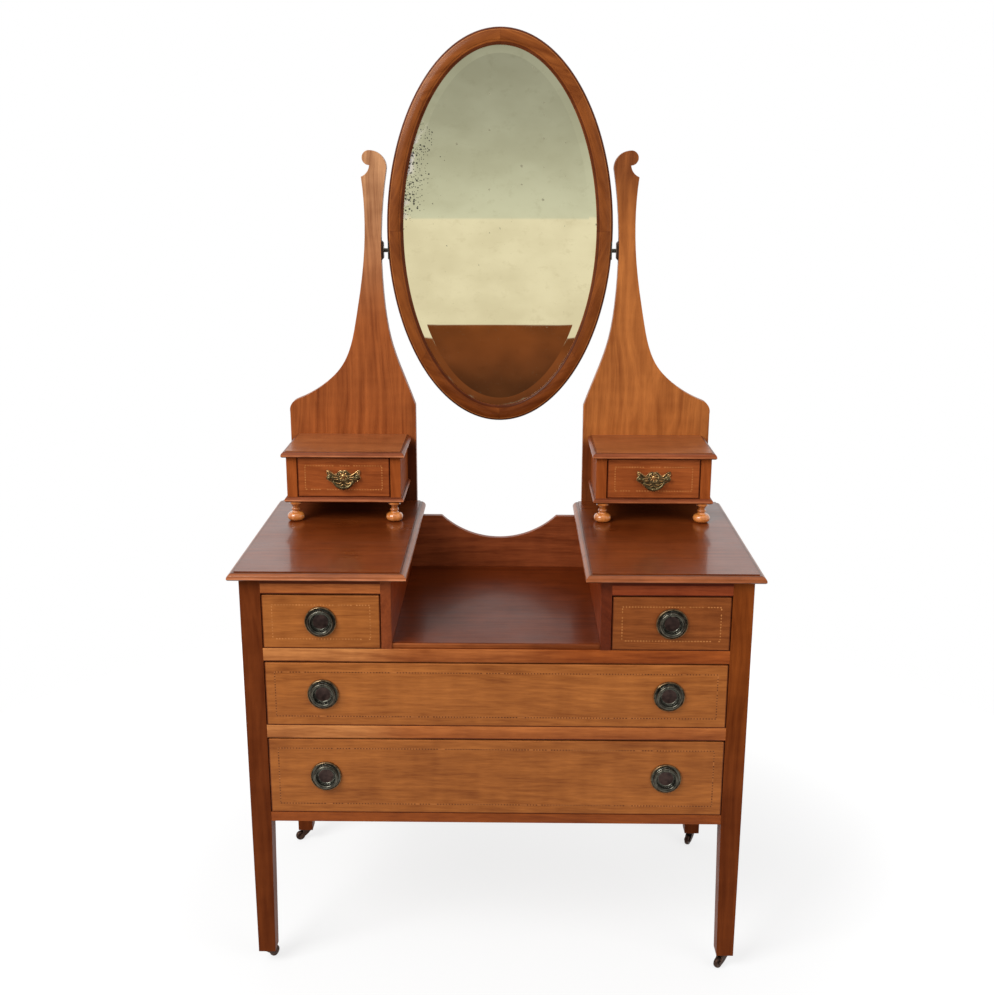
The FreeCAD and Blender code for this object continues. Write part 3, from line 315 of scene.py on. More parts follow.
# Each wood: colour property, grain axis, seed, heart line across and through the board, strength of figure,
# roughness, level of the wood's own gloss, weight of the polish over it and that polish's roughness.
WOODS = {
    "polished_leg": ("legs", "Z", 1.3, (0.06, 0.05), 0.55, 0.46, 0.08, 0.0, 0.20),
    "polished_panel": ("legs", "Z", 4.1, (0.30, 0.02), 0.75, 0.44, 0.16, 0.05, 0.20),
    "polished_rail": ("rails", "X", 2.2, (0.03, 0.20), 0.50, 0.42, 0.22, 0.06, 0.18),
    # The bottom rail's wood, darker as painted shade.
    "polished_low_rail": ("low_rail", "X", 2.7, (0.03, 0.20), 0.50, 0.42, 0.22, 0.06, 0.18),
    "polished_front": ("drawers", "X", 6.4, (0.43, -0.19), 0.45, 0.40, 0.22, 0.06, 0.16),
    "polished_right_front": ("dark_drawer", "X", 9.7, (0.72, -0.16), 0.90, 0.40, 0.22, 0.06, 0.16),
    "polished_box_front": ("box_fronts", "X", 15.1, (0.94, 0.01), 0.60, 0.40, 0.22, 0.06, 0.16),
    "polished_top": ("tops", "X", 3.6, (0.70, 0.02), 0.55, 0.32, 0.36, 0.45, 0.10),
    "polished_wall": ("walls", "Y", 5.2, (0.60, 0.10), 0.55, 0.40, 0.25, 0.12, 0.14),
    "polished_scoop": ("scooped_back", "X", 7.3, (0.57, 0.30), 0.60, 0.40, 0.25, 0.10, 0.14),
    "polished_shelf": ("shelf", "X", 7.9, (0.57, 0.04), 0.60, 0.34, 0.17, 0.10, 0.12),
    "polished_standard": ("standards", "Z", 8.8, (0.29, 0.30), 0.80, 0.42, 0.22, 0.06, 0.18),
    "polished_box_top": ("boxes", "X", 11.3, (0.97, 0.10), 0.55, 0.36, 0.25, 0.14, 0.14),
    "polished_box_base": ("box_edges", "X", 13.3, (0.87, 0.10), 0.55, 0.40, 0.25, 0.08, 0.14),
    "polished_box_side": ("box_fronts", "Z", 12.9, (0.29, 0.04), 0.55, 0.55, 0.02, 0.0, 0.16),
}

# Moulded woods: the moulding's colour and its tip's painted highlight, the node, and how far under its top
# they start.
MOULDINGS = {
    "polished_top": ("top_edges", "top_tips", "pedestal_tops", 0.0016, 0.0093),
    "polished_box_top": ("box_edges", "box_tips", "trinket_tops", 0.0012, 0.0073),
    "polished_box_base": ("box_edges", "box_tips", "trinket_bases", 0.0006, 0.0048),
}
TIP_HEIGHT = 0.0027
MOULDING_COAT = 0.35
LIPPING_DEPTH = 0.004
OVERHANG_SHADE = 0.0108
# Width of the painted shade along the gaps, on drawer fronts' sides and feet and on rails' lower edges.
EDGE_SHADE = 0.0022
# Width of the painted highlight along a drawer front's upper edge.
ARRIS_HIGHLIGHT = 0.0018
SHARP_BLEND = 0.0005
HALVES_BLEND = 0.01
POLISH_TINT = (1.0, 0.80, 0.62, 1.0)
# Streaks to the metre across a board whose grain stands upright, and across one whose grain lies level.
UPRIGHT_STREAKS = 80.0
LEVEL_STREAKS = 230.0


def polish(gloss, coat, coat_rough):
    """What is the same all over a polished wood: its gloss, and the weight and roughness of its polish."""
    return {"Coat Weight": coat, "Coat Roughness": coat_rough, "Specular IOR Level": gloss,
            "Specular Tint": POLISH_TINT}


def along_grain(place, grain):
    """The place turned so that its first axis runs along the grain."""
    x, y, z = place.parts()
    return place.vector(*{"X": (x, z, y), "Y": (y, z, x), "Z": (z, x, y)}[grain])


def on_right(x):
    """0 over the table's left half and 1 over its right."""
    return x.smooth(-HALVES_BLEND, HALVES_BLEND)


def polished(name, board_name=None):
    """Polished wood, made once, or once for a rail or drawer front with worn edges of its own."""
    title = board_name + "_polish" if board_name else name
    tone_name, grain, seed, heart, figure, rough, gloss, coat, coat_rough = WOODS[name]
    base = tone_of(tone_name)

    def paint(place):
        tone = base
        if board_name:
            worn_tone = front_tone if board_name.endswith("_front") else rail_tone
            tone = worn_tone(place, base, board_name)
        elif name in MOULDINGS:
            tone = moulding_tone(place, base, *MOULDINGS[name])
        elif name in BOARD_TONES:
            tone = BOARD_TONES[name](place, base)
        streaks = UPRIGHT_STREAKS if grain == "Z" else LEVEL_STREAKS
        wires = wood_paint(along_grain(place, grain), tone, seed, heart, figure, rough, streaks)
        if name in MOULDINGS:
            rubbed_off = moulded(place, *MOULDINGS[name][2:4]) * (1 - MOULDING_COAT)
            wires["Coat Weight"] = coat * (1 - rubbed_off)
        return wires

    return surface(title, polish(gloss, coat, coat_rough), paint)


def wall_tone(place, base):
    """The recess walls' polish, with another wood's lipping along each front edge, the right one darker as
    painted shade.
    """
    x, y = place.parts()[:2]
    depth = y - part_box("recess_sides")[0].y
    edge = 1 - depth.smooth(LIPPING_DEPTH, LIPPING_DEPTH + SHARP_BLEND)
    # The right lipping is darker, as painted shade.
    return edge.mix(base, on_right(x).mix(tone_of("lippings"), tone_of("shaded_lipping")))


def leg_tone(place, base):
    """The legs' polish, lighter towards the top of the right ones."""
    x, z = place.parts()[::2]
    return (on_right(x) * z.smooth(0.3, 0.6)).mix(base, tinted(base, 1.3, 1.35, 1.0))


def rail_tone(place, base, rail):
    """A rail's polish, with painted light: lighter towards its upper edge and its left end, the middle rail
    darker towards its right, and painted shade along its lower edge over the gap and under a top's overhang.
    """
    x, z = place.parts()[::2]
    low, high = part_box(rail)
    # Painted light: lighter towards the upper edge.
    worn = ((z - low.z) / (high.z - low.z)).smooth(0.2, 0.95)
    tone = worn.mix(tinted(base, 0.86, 0.80, 0.76), tinted(base, 1.16, 1.18, 1.18))
    # Painted shade along the lower edge, over the gap to the drawer below.
    shade = 1 - (z - low.z).smooth(EDGE_SHADE * 0.6, EDGE_SHADE)
    if rail == "top_rails":
        tone = on_right(x).mix(tinted(base, 1.12, 1.08, 1.08), tone_of("right_rail"))
        # Painted shadow under the top's overhang.
        shade = shade.most(1 - (high.z - z).smooth(OVERHANG_SHADE * 0.82, OVERHANG_SHADE))
    if rail in ("middle_rail", "lower_rail"):
        # Painted light: paler towards the left end.
        tone = (1 - x.smooth(-0.26, -0.14)).mix(tone, tinted(tone, 1.28, 1.62, 1.95))
    if rail == "middle_rail":
        # Painted shade: darker towards the right, with the gap's painted shade weaker at the left.
        tone = x.smooth(0.0, 0.16).mix(tone, tinted(tone, 0.76, 0.59, 0.42))
        shade = shade * (1 - x.smooth(-0.35, -0.12) * 0.75)
    if rail == "lower_rail":
        # The gap's painted shade is weaker at the left.
        shade = shade * (0.3 + x.smooth(-0.2, -0.1) * 0.7)
    return (shade * 0.88).mix(tone, tinted(base, 0.18, 0.04, 0.01))


def shelf_tone(place, base):
    """The shelf's polish, with a painted highlight along its front edge, brightest at the left."""
    x, y, z = place.parts()
    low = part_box("recess_shelf")[0]
    lip = (1 - (y - low.y).smooth(0.0012, 0.002)) * (z - low.z).smooth(0.0015, 0.0025)
    # Painted highlight along the front edge, brightest at the left.
    rubbed = x.smooth(-0.1, 0.15).mix(tinted(base, 2.3, 3.6, 5.6), tinted(base, 1.2, 1.5, 1.9))
    return lip.mix(base, rubbed)


def front_tone(place, base, front):
    """A drawer front's polish, with a painted highlight along its upper edge and painted shade along its
    sides and foot, where the gaps are.
    """
    x, z = place.parts()[::2]
    low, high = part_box(front)
    # Painted highlight along the upper edge.
    rubbed = 1 - (high.z - z).smooth(ARRIS_HIGHLIGHT * 0.5, ARRIS_HIGHLIGHT)
    tone = (rubbed * 0.6).mix(base, tinted(base, 1.35, 1.4, 1.8))
    # Painted shade along the sides and foot, where the gaps are.
    inside = (x - low.x).least(high.x - x).least(z - low.z)
    gap_shade = 1 - inside.smooth(EDGE_SHADE * 0.5, EDGE_SHADE)
    return (gap_shade * 0.85).mix(tone, tinted(base, 0.2, 0.06, 0.02))


def standard_tone(place, base):
    """The standards' polish: the left redder with a painted sheen on its head, the right with painted shade
    on its head, and both with painted shadow in front behind the boxes.
    """
    x, y, z = place.parts()
    low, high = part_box("mirror_standards")
    right = on_right(x)
    tone = right.mix(tinted(base, 0.86, 0.75, 0.74), tinted(base, 1.07, 1.12, 1.08))
    # Painted sheen on the left standard's head.
    faded = (1 - (high.z - z).smooth(0.03, 0.36)) * (1 - right)
    tone = faded.mix(tone, tinted(base, 1.36, 2.2, 4.4))
    # Painted shade on the right standard's head.
    scroll_shade = (1 - (high.z - z).smooth(0.02, 0.16)) * right
    tone = scroll_shade.mix(tone, tinted(base, 0.6, 0.56, 0.54))
    # Painted shadow of the boxes on the fronts of the standards.
    box_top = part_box("trinket_tops")[1].z
    hidden = (1 - z.smooth(box_top - 0.03, box_top)) * (1 - (y - low.y).smooth(0.001, 0.003))
    return hidden.mix(tone, right.mix(tinted(base, 0.2, 0.13, 0.12), tinted(base, 0.48, 0.38, 0.34)))


# Boards whose polish differs over their length, each with the function that gives it.
BOARD_TONES = {
    "polished_wall": wall_tone,
    "polished_leg": leg_tone,
    "polished_standard": standard_tone,
    "polished_shelf": shelf_tone,
}


def moulded(place, node, start):
    """1 on a moulded edge, from start under the board's top, and 0 on the top."""
    return (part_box(node)[1].z - place.parts()[2]).smooth(start, start + SHARP_BLEND)


def moulding_tone(place, base, edge_name, tip_name, node, start, tip_start):
    """A moulded board's polish: painted shade in the quirk, the moulding's own colour, a painted highlight on
    its tip, lighter at the left, and painted shadow under it.
    """
    x, z = place.parts()[::2]
    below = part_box(node)[1].z - z
    edge = moulded(place, node, start)
    # The moulding's own colour; on the tops it is painted lighter, as lit.
    tone = edge.mix(base, tone_of(edge_name))
    # Painted shade in the quirk.
    quirk = edge * (1 - below.smooth(start + 0.0006, start + 0.0014))
    tone = (quirk * 0.7).mix(tone, tinted(base, 0.25, 0.2, 0.2))
    # Painted shadow under the tip.
    under = below.smooth(tip_start + TIP_HEIGHT, tip_start + TIP_HEIGHT + 0.0004)
    # Patchy strength of the tip's painted highlight.
    worn = 0.55 + place.noise((22.0, 22.0, 22.0), 2.0).smooth(0.3, 0.6) * 0.45
    tip = below.smooth(tip_start - 0.0008, tip_start + 0.0004) * (1 - under) * worn
    pale = tone_of(tip_name)
    # The tip's painted highlight, lighter on the left half and darker on the right, as light falls from the
    # left.
    pale = on_right(x).mix(tinted(pale, 1.3, 1.42, 1.6), tinted(pale, 0.85, 0.8, 0.78))
    tone = tip.mix(tone, pale)
    return (under * 0.8).mix(tone, tinted(base, 0.3, 0.22, 0.2))


def wood_paint(board, base, seed, heart, figure, rough, streaks=LEVEL_STREAKS):
    """Wires of a polished board whose grain runs along its first axis, with so many streaks to the metre."""
    board = board + (seed, 0.0, 0.0)
    across, through = board.parts()[1:]
    sway = board.noise((1.7, 0.0, 0.0), 1.0) - 0.5
    ruffle = board.noise((4.0, 14.0, 14.0), 2.0) - 0.5
    side = across - heart[0] + sway * 0.09
    depth = through - heart[1]
    reach = (side * side + depth * depth) ** 0.5 + ruffle * 0.034
    growth = reach.bands(90.0, 3.0)
    fibre = board.noise((9.0, 420.0, 420.0), 2.0)
    drift = board.noise((1.6, 5.0, 5.0), 1.5)
    ripple = board.noise((42.0, 8.0, 8.0), 1.0)
    streak = board.noise((streaks * 0.1, streaks, streaks), 2.0, 0.6)
    mottle = board.noise((9.0, 21.0, 21.0), 3.0, 0.6)
    pores = board.noise((60.0, 1300.0, 1300.0), 1.0).smooth(0.63, 0.74)
    tone = 0.5 + (growth - 0.5) * (1.6 * figure) + (streak - 0.5) + (fibre - 0.5) * 0.3
    tone = tone + (drift - 0.5) * 0.7 + (ripple - 0.5) * 0.35 + (mottle - 0.5) * 0.9
    dark = tinted(base, 0.62, 0.53, 0.48)
    light = tinted(base, 1.38, 1.47, 1.52)
    hue = tone.mix(dark, light)
    hue = (pores * 0.35).mix(hue, tinted(base, 0.38, 0.3, 0.26))
    open_air = board.openness(0.012)
    rubbed = board.arris(0.0022).smooth(0.02, 0.22) * open_air.smooth(0.72, 0.95)
    rubbed = rubbed * board.noise((30.0, 30.0, 30.0), 2.0).smooth(0.35, 0.62)
    hue = (rubbed * 0.5).mix(hue, tinted(base, 1.55, 1.5, 1.4))
    # Painted shade, with grime, in the crevices.
    hue = ((1 - open_air.smooth(0.25, 0.8)) * 0.45).mix(hue, tinted(base, 0.3, 0.24, 0.2))
    smudge = board.noise((11.0, 14.0, 14.0), 3.0)
    sheen = rough + (smudge - 0.5) * 0.22 + (fibre - 0.5) * 0.10 + rubbed * 0.12
    relief = growth * 0.25 + fibre * 0.5 - pores * 0.6
    return {"Base Color": hue, "Roughness": sheen, "Normal": relief.bump(0.16, 0.0003)}


SAWN_LENGTHS = 8
# Squashes the oval's height, so that its sawn lengths come out about alike.
OVAL_SQUASH = 0.62
OVAL_STREAKS = 120.0


def oval_wood(tone_name):
    """The mirror frame's wood, in sawn lengths that each have their grain straight."""
    low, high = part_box("mirror_frame")
    middle = (low + high) / 2
    base = tone_of(tone_name)

    def paint(place):
        x, y, z = place.parts()
        aside = x - middle.x
        above = z - middle.z
        squashed = {0: above * OVAL_SQUASH, 1: aside}
        round_oval = place.node("ShaderNodeMath", {"operation": "ARCTAN2"}, squashed) * (SAWN_LENGTHS / TURN)
        length = place.node("ShaderNodeMath", {"operation": "FLOOR"}, {0: round_oval})
        lie = (length + 0.5) * (TURN / SAWN_LENGTHS)
        cosine = place.node("ShaderNodeMath", {"operation": "COSINE"}, {0: lie})
        sine = place.node("ShaderNodeMath", {"operation": "SINE"}, {0: lie})
        along = above * cosine - aside * sine
        outward = aside * cosine + above * sine
        board = place.vector(along + length * 1.7, outward, y)
        # Painted shade: darker towards the frame's foot.
        foot = 1 - above.smooth(-0.36, -0.1)
        tone = foot.mix(base, tinted(base, 0.66, 0.56, 0.5))
        wires = wood_paint(board, tone, 2.9, (0.2, 0.32), 0.6, 0.36, OVAL_STREAKS)
        joint = (round_oval - length - 0.5).unsigned().smooth(0.4965, 0.4985)
        wires["Base Color"] = (joint * 0.4).mix(wires["Base Color"], tinted(base, 0.4, 0.3, 0.25))
        return wires

    return surface(tone_name + "_polish", polish(0.15, 0.06, 0.16), paint)


def turned_wood():
    """Golden polish of the bun feet, darker in the necks and towards the foot."""
    base = tone_of("feet")
    low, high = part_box("trinket_feet")

    def paint(place):
        x, y, z = place.parts()
        wires = wood_paint(place.vector(z, x, y), base, 14.2, (0.3, 0.05), 0.6, 0.22)
        height = (z - low.z) / (high.z - low.z)
        neck = height.smooth(0.36, 0.52) * (1 - height.smooth(0.72, 0.92))
        under = 1 - height.smooth(0.0, 0.14)
        # Darker in the necks and towards the foot.
        gathered = neck.most(under) * 0.55
        wires["Base Color"] = gathered.mix(wires["Base Color"], tinted(base, 0.42, 0.3, 0.2))
        return wires

    return surface("turned_polish", {"Coat Weight": 1.0, "Coat Roughness": 0.07}, paint)


def bare_pine(name, grain, sides=None):
    """Planed pine browned with age. sides says where a drawer's sides are, whose grain runs to the back."""
    base = tone_of("pine")

    def paint(place):
        board = along_grain(place, grain)
        if sides:
            left, right, thick = sides
            x = place.parts()[0]
            nearest = (x - left).unsigned().least((x - right).unsigned())
            is_side = 1 - nearest.smooth(thick, thick + 0.0002)
            inputs = {0: is_side, 4: board, 5: along_grain(place, "Y")}
            board = place.node("ShaderNodeMix", {"data_type": "VECTOR"}, inputs, 1)
        lift = board.noise((2.2, 9.0, 9.0), 1.0) - 0.5
        across, through = board.parts()[1:]
        growth = (across * 0.8 + through * 0.6 + lift * 0.02).bands(110.0, 2.0)
        fibre = board.noise((7.0, 300.0, 300.0), 2.0)
        stain = board.noise((4.0, 6.0, 6.0), 3.0)
        tone = 0.5 + (growth - 0.5) * 1.2 + (fibre - 0.5) * 0.4 + (stain - 0.5) * 0.7
        hue = tone.mix(tinted(base, 0.62, 0.52, 0.42), tinted(base, 1.22, 1.25, 1.28))
        # Painted shade, with grime, in the corners.
        grime_and_shade = 1 - place.openness(0.03).smooth(0.2, 0.85)
        hue = (grime_and_shade * 0.55).mix(hue, tinted(base, 0.3, 0.22, 0.16))
        return {"Base Color": hue, "Roughness": 0.62 + (fibre - 0.5) * 0.2,
                "Normal": (growth * 0.5 + fibre * 0.5).bump(0.25, 0.0004)}

    return surface(name, {"Specular IOR Level": 0.35}, paint)


def string_wood(name, tone_name):
    """A slip of stringing under the polish, each chequer a little different."""
    base = tone_of(tone_name)

    def paint(place):
        fibre = place.noise((90.0, 500.0, 500.0), 2.0)
        aged = place.noise((45.0, 45.0, 45.0), 2.0)
        tone = 0.5 + (fibre - 0.5) * 0.5 + (aged - 0.5) * 1.6
        hue = tone.mix(tinted(base, 0.62, 0.55, 0.48), tinted(base, 1.3, 1.32, 1.35))
        sheen = 0.34 + (aged - 0.5) * 0.25
        return {"Base Color": hue, "Roughness": sheen, "Normal": fibre.bump(0.1, 0.0002)}

    return surface(name, polish(0.22, 0.06, 0.16), paint)


# Each metal: colour property, display colours of its rubbed edges and of the deposit in its hollows,
# roughness and strength of its pitting.
METALS = {
    "bronzed_brass": ("bronze", (186, 188, 172), (18, 18, 15), 0.24, 0.15),
    "worn_rim": ("rim", (186, 158, 118), (40, 30, 20), 0.30, 0.15),
    "cast_brass": ("brass", (222, 186, 128), (28, 27, 18), 0.28, 0.20),
    "rubbed_cast_brass": ("rubbed_brass", (240, 206, 150), (84, 66, 40), 0.26, 0.15),
    "dish_lacquer": ("dish", (150, 120, 104), (40, 28, 26), 0.40, 0.20),
    "worn_iron": ("iron", (128, 100, 78), (58, 32, 18), 0.50, 0.35),
    "dull_steel": ("iron", (150, 140, 126), (48, 30, 20), 0.45, 0.30),
}


def metal(name):
    """Cast metal with a dark skin, rubbed bright on its edges and with dull deposits in its hollows."""
    tone_name, bright, crevice, rough, pitting = METALS[name]
    base = tone_of(tone_name)

    def paint(place):
        clouds = place.noise((130.0, 130.0, 130.0), 3.0)
        grit = place.noise((1500.0, 1500.0, 1500.0), 2.0)
        open_air = place.openness(0.004)
        edges = place.arris(0.0012).smooth(0.01, 0.2) * open_air.smooth(0.5, 0.9)
        rubbed = edges * clouds.smooth(0.3, 0.6)
        hollow = 1 - open_air.smooth(0.3, 0.85)
        hue = clouds.smooth(0.25, 0.75).mix(tinted(base, 0.55, 0.52, 0.5), tinted(base, 1.5, 1.45, 1.35))
        hue = (rubbed * 0.75).mix(hue, linear(*bright))
        hue = (hollow * 0.8).mix(hue, linear(*crevice))
        return {
            "Base Color": hue,
            "Metallic": 0.85 - hollow * 0.6,
            "Roughness": rough + (clouds - 0.5) * 0.3 + hollow * 0.3 - rubbed * 0.12,
            "Normal": (grit * 0.6 + clouds * 0.6).bump(pitting, 0.0002),
        }

    return surface(name, {}, paint)


# Share of the bevel's slope that the view through it is bent inwards.
BEVEL_BEND = 0.1


def silvered():
    """Old silvering, faintly yellow, foxed from its left rim, with a bevel that bends the view inwards."""
    low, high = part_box("mirror_glass")
    middle = (low + high) / 2
    half = (high - low) / 2
    tint = tone_of("silver")

    def paint(place):
        x, z = place.parts()[::2]
        aside = (x - middle.x) / half.x
        above = (z - middle.z) / half.z
        reach = (aside * aside + above * above) ** 0.5
        from_rim = (1 - reach) * half.x
        wander = place.noise((26.0, 26.0, 26.0), 3.0) - 0.5
        grain = place.noise((600.0, 600.0, 600.0), 1.0) - 0.5
        band = (above + wander * 0.25 - 0.29).unsigned()
        height = (1 - band.smooth(0.10, 0.36)) * (0 - aside).smooth(0.1, 0.4)
        zone = height * (1 - (from_rim + wander * 0.05).smooth(0.008, 0.055))
        fringe = height * (1 - from_rim.smooth(0.03, 0.17))

        def dots(scale, share):
            """Round specks, one to a cell, in the share of the cells that have gone."""
            plan = {"voronoi_dimensions": "2D"}
            cells = {"Vector": place.vector(x, z), "Scale": scale}
            away = place.node("ShaderNodeTexVoronoi", plan, cells) + grain * 0.3
            lot = place.node("ShaderNodeTexVoronoi", plan, cells, "Color").parts()[0]
            return ((share - lot).smooth(0.0, 0.3) * 0.3 - away).smooth(0.0, 0.1)

        flecks = dots(130.0, zone * 0.5 + fringe * 0.22).most(dots(250.0, zone * 0.6 + fringe * 0.18))
        patches = place.noise((70.0, 70.0, 70.0), 2.0).smooth(0.5, 0.62)
        bald = patches * height * (1 - from_rim.smooth(0.004, 0.022))
        rim = (1 - (from_rim + wander * 0.012).smooth(0.0005, 0.004)) * 0.5
        stray = dots(48.0, above.smooth(-0.7, 0.2) * 0.16) * 0.6
        spoiled = flecks.most(rim).most(stray)
        cloud = place.noise((9.0, 14.0, 14.0), 3.0).smooth(0.3, 0.7)
        hue = cloud.mix(tinted(tint, 0.90, 0.89, 0.85), tinted(tint, 1.02, 1.02, 1.0))
        blots = place.noise((34.0, 34.0, 46.0), 4.0, 0.65).smooth(0.52, 0.74)
        hue = (blots * 0.5).mix(hue, tinted(tint, 0.80, 0.78, 0.73))
        hue = (bald * 0.7).mix(hue, linear(206, 200, 210))
        hue = spoiled.mix(hue, linear(66, 67, 55))
        normal = place.node("ShaderNodeNewGeometry", output="Normal")
        turn = {"vector_type": "NORMAL", "convert_from": "OBJECT", "convert_to": "WORLD"}
        flat = place.node("ShaderNodeVectorTransform", turn, {0: (0.0, -1.0, 0.0)})
        bent = flat * (1 + BEVEL_BEND) - normal * BEVEL_BEND
        return {
            "Base Color": hue,
            "Metallic": 1 - spoiled.most(bald) * 0.9,
            "Roughness": 0.006 + spoiled * 0.35 + bald * 0.3 + cloud * 0.006,
            "Normal": place.node("ShaderNodeVectorMath", {"operation": "NORMALIZE"}, {0: bent}),
        }

    return surface("old_mirror", {}, paint)


def box_in_mm(node):
    """A node's lowest and highest corners, in millimetres."""
    return tuple(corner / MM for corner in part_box(node))


def turns(count, offset=0.0):
    """Angles of that many even steps round a circle."""
    return [TURN * (step + offset) / count for step in range(count)]


def on_circle(place, radius, turn, height):
    """The point at an angle on a circle round place's local Z, that high along it."""
    return place @ Vector((radius * math.cos(turn), radius * math.sin(turn), height))


class Shape:
    """Points and faces of one piece, in millimetres, gathered before its mesh is made."""

    def __init__(self):
        self.points = []
        self.faces = []
        self.finishes = []

    def add(self, points, faces, finish):
        first = len(self.points)
        self.points += [Vector(point) for point in points]
        self.faces += [tuple(first + index for index in face) for face in faces]
        self.finishes += [finish] * len(faces)

    def skin(self, rows, finish=0, looped=False, finishes=None):
        """Joins closed rows of points, one after the other, with a face over each open end."""
        count = len(rows[0])
        points = [point for row in rows for point in row]
        pairs = [(row, row + 1) for row in range(len(rows) - 1)]
        if looped:
            pairs.append((len(rows) - 1, 0))
        first = len(self.faces)
        faces = []
        for near, far in pairs:
            for index in range(count):
                after = (index + 1) % count
                corners = ((near, index), (near, after), (far, after), (far, index))
                faces.append(tuple(row * count + spot for row, spot in corners))
        if not looped:
            faces.append(tuple(reversed(range(count))))
            faces.append(tuple((len(rows) - 1) * count + index for index in range(count)))
        self.add(points, faces, finish)
        for pair, kind in (finishes or {}).items():
            for index in range(count):
                self.finishes[first + pair * count + index] = kind

    def lathe(self, profile, place, segments, finish=0):
        """Turns a profile of radius and height about place's local Z. A zero radius closes an end."""
        points = []
        rows = []
        for radius, height in profile:
            if radius < 1e-6:
                rows.append([len(points)])
                points.append(place @ Vector((0, 0, height)))
                continue
            rows.append(list(range(len(points), len(points) + segments)))
            for turn in turns(segments):
                points.append(on_circle(place, radius, turn, height))
        faces = []
        for near, far in zip(rows, rows[1:]):
            for index in range(segments):
                after = (index + 1) % segments
                ring = ((near, index), (near, after), (far, after), (far, index))
                corners = tuple(dict.fromkeys(row[spot % len(row)] for row, spot in ring))
                if len(corners) > 2:
                    faces.append(corners)
        for row in (rows[0], rows[-1]):
            if len(row) > 1:
                faces.append(tuple(row))
        self.add(points, faces, finish)

    def tube(self, path, radii, sides, finish=0):
        """A round bar along a path, with its own radius at each point."""
        across = None
        rows = []
        for index, centre in enumerate(path):
            before = path[max(index - 1, 0)]
            after = path[min(index + 1, len(path) - 1)]
            ahead = (after - before).normalized()
            if across is None:
                across = ahead.orthogonal()
            across = (across - ahead * across.dot(ahead)).normalized()
            up = ahead.cross(across)
            ways = [across * math.cos(turn) + up * math.sin(turn) for turn in turns(sides)]
            rows.append([centre + way * radii[index] for way in ways])
        self.skin(rows, finish)

    def bead(self, centre, radius, stretch=(1, 1, 1), turn=None, finish=0, segments=14):
        """A ball, stretched along its own axes."""
        steps = segments // 2
        angles = [math.pi * step / steps for step in range(steps + 1)]
        profile = [(math.sin(angle), -math.cos(angle)) for angle in angles]
        grow = Matrix.Diagonal(Vector([radius * share for share in stretch])).to_4x4()
        place = Matrix.Translation(Vector(centre)) @ (turn or Matrix()) @ grow
        self.lathe(profile, place, segments, finish)

    def block(self, low, high, finish=0):
        """A closed rectangular slip."""
        left_right, near_far, foot_head = zip(low, high)
        points = [(x, y, z) for z in foot_head for y in near_far for x in left_right]
        faces = [(0, 2, 3, 1), (4, 5, 7, 6), (0, 1, 5, 4), (1, 3, 7, 5), (3, 2, 6, 7), (2, 0, 4, 6)]
        self.add(points, faces, finish)

    def slotted_head(self, centre, axis, radius, rise):
        """A countersunk screw head with its slot, standing rise proud along axis."""
        place = facing(centre, axis)
        half_slot = radius * 0.16
        rim = math.asin(half_slot / radius)
        angles = [rim + (math.pi - 2 * rim) * step / 14 for step in range(15)]
        for side in (1, -1):
            edge = half_slot * side
            outline = [(radius * math.cos(angle), side * radius * math.sin(angle)) for angle in angles]
            rows = []
            for share, height in ((1.0, -0.3), (1.0, rise * 0.6), (0.9, rise)):
                flat = [(x * share, edge + (y - edge) * share) for x, y in outline]
                rows.append([place @ Vector((x, y, height)) for x, y in flat])
            self.skin(rows)
        self.lathe([(radius * 0.97, -0.4), (radius * 0.97, -0.15)], place, 28)


def facing(centre, axis):
    """The place whose local Z runs along axis from centre."""
    turn = Vector((0, 0, 1)).rotation_difference(Vector(axis)).to_matrix().to_4x4()
    return Matrix.Translation(Vector(centre)) @ turn


def piece(name, shape, finishes, body, replaced=(), crease=38):
    """Makes a shape into a mesh object that rides on a body and takes a slot's finish."""
    mesh = bpy.data.meshes.new(name)
    mesh.from_pydata([point * MM for point in shape.points], [], shape.faces)
    for finish in finishes:
        mesh.materials.append(finish)
    mesh.polygons.foreach_set("material_index", shape.finishes)
    whole = bmesh.new()
    whole.from_mesh(mesh)
    bmesh.ops.recalc_face_normals(whole, faces=whole.faces)
    whole.to_mesh(mesh)
    whole.free()
    mesh.polygons.foreach_set("use_smooth", [True] * len(mesh.polygons))
    mesh.set_sharp_from_angle(angle=math.radians(crease))
    made = bpy.data.objects.new(name, mesh)
    bpy.context.scene.collection.objects.link(made)
    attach(made, body)
    if replaced:
        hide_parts(*replaced)


WELD_REACH = 1e-5
FLAT_ANGLE = math.radians(0.4)
ARRIS_ANGLE = math.radians(40)


def dress(node, finish, rounding=1.0):
    """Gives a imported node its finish, and sands its arrises to a share of the edge rounding."""
    board = frame["nodes"][node]
    for slot in board.material_slots:
        slot.material = finish
    if not rounding:
        return
    weld = board.modifiers.new("join", "WELD")
    weld.merge_threshold = WELD_REACH
    flat = board.modifiers.new("flat_faces", "DECIMATE")
    flat.decimate_type = "DISSOLVE"
    flat.angle_limit = FLAT_ANGLE
    sand = board.modifiers.new("sanded", "BEVEL")
    sand.width = bpy.context.scene.table_sizes.edge_round * rounding
    sand.segments = 2
    sand.limit_method = "ANGLE"
    sand.angle_limit = ARRIS_ANGLE
    sand.use_clamp_overlap = False
    sand.harden_normals = False
    even = board.modifiers.new("even_shading", "WEIGHTED_NORMAL")
    even.keep_sharp = True


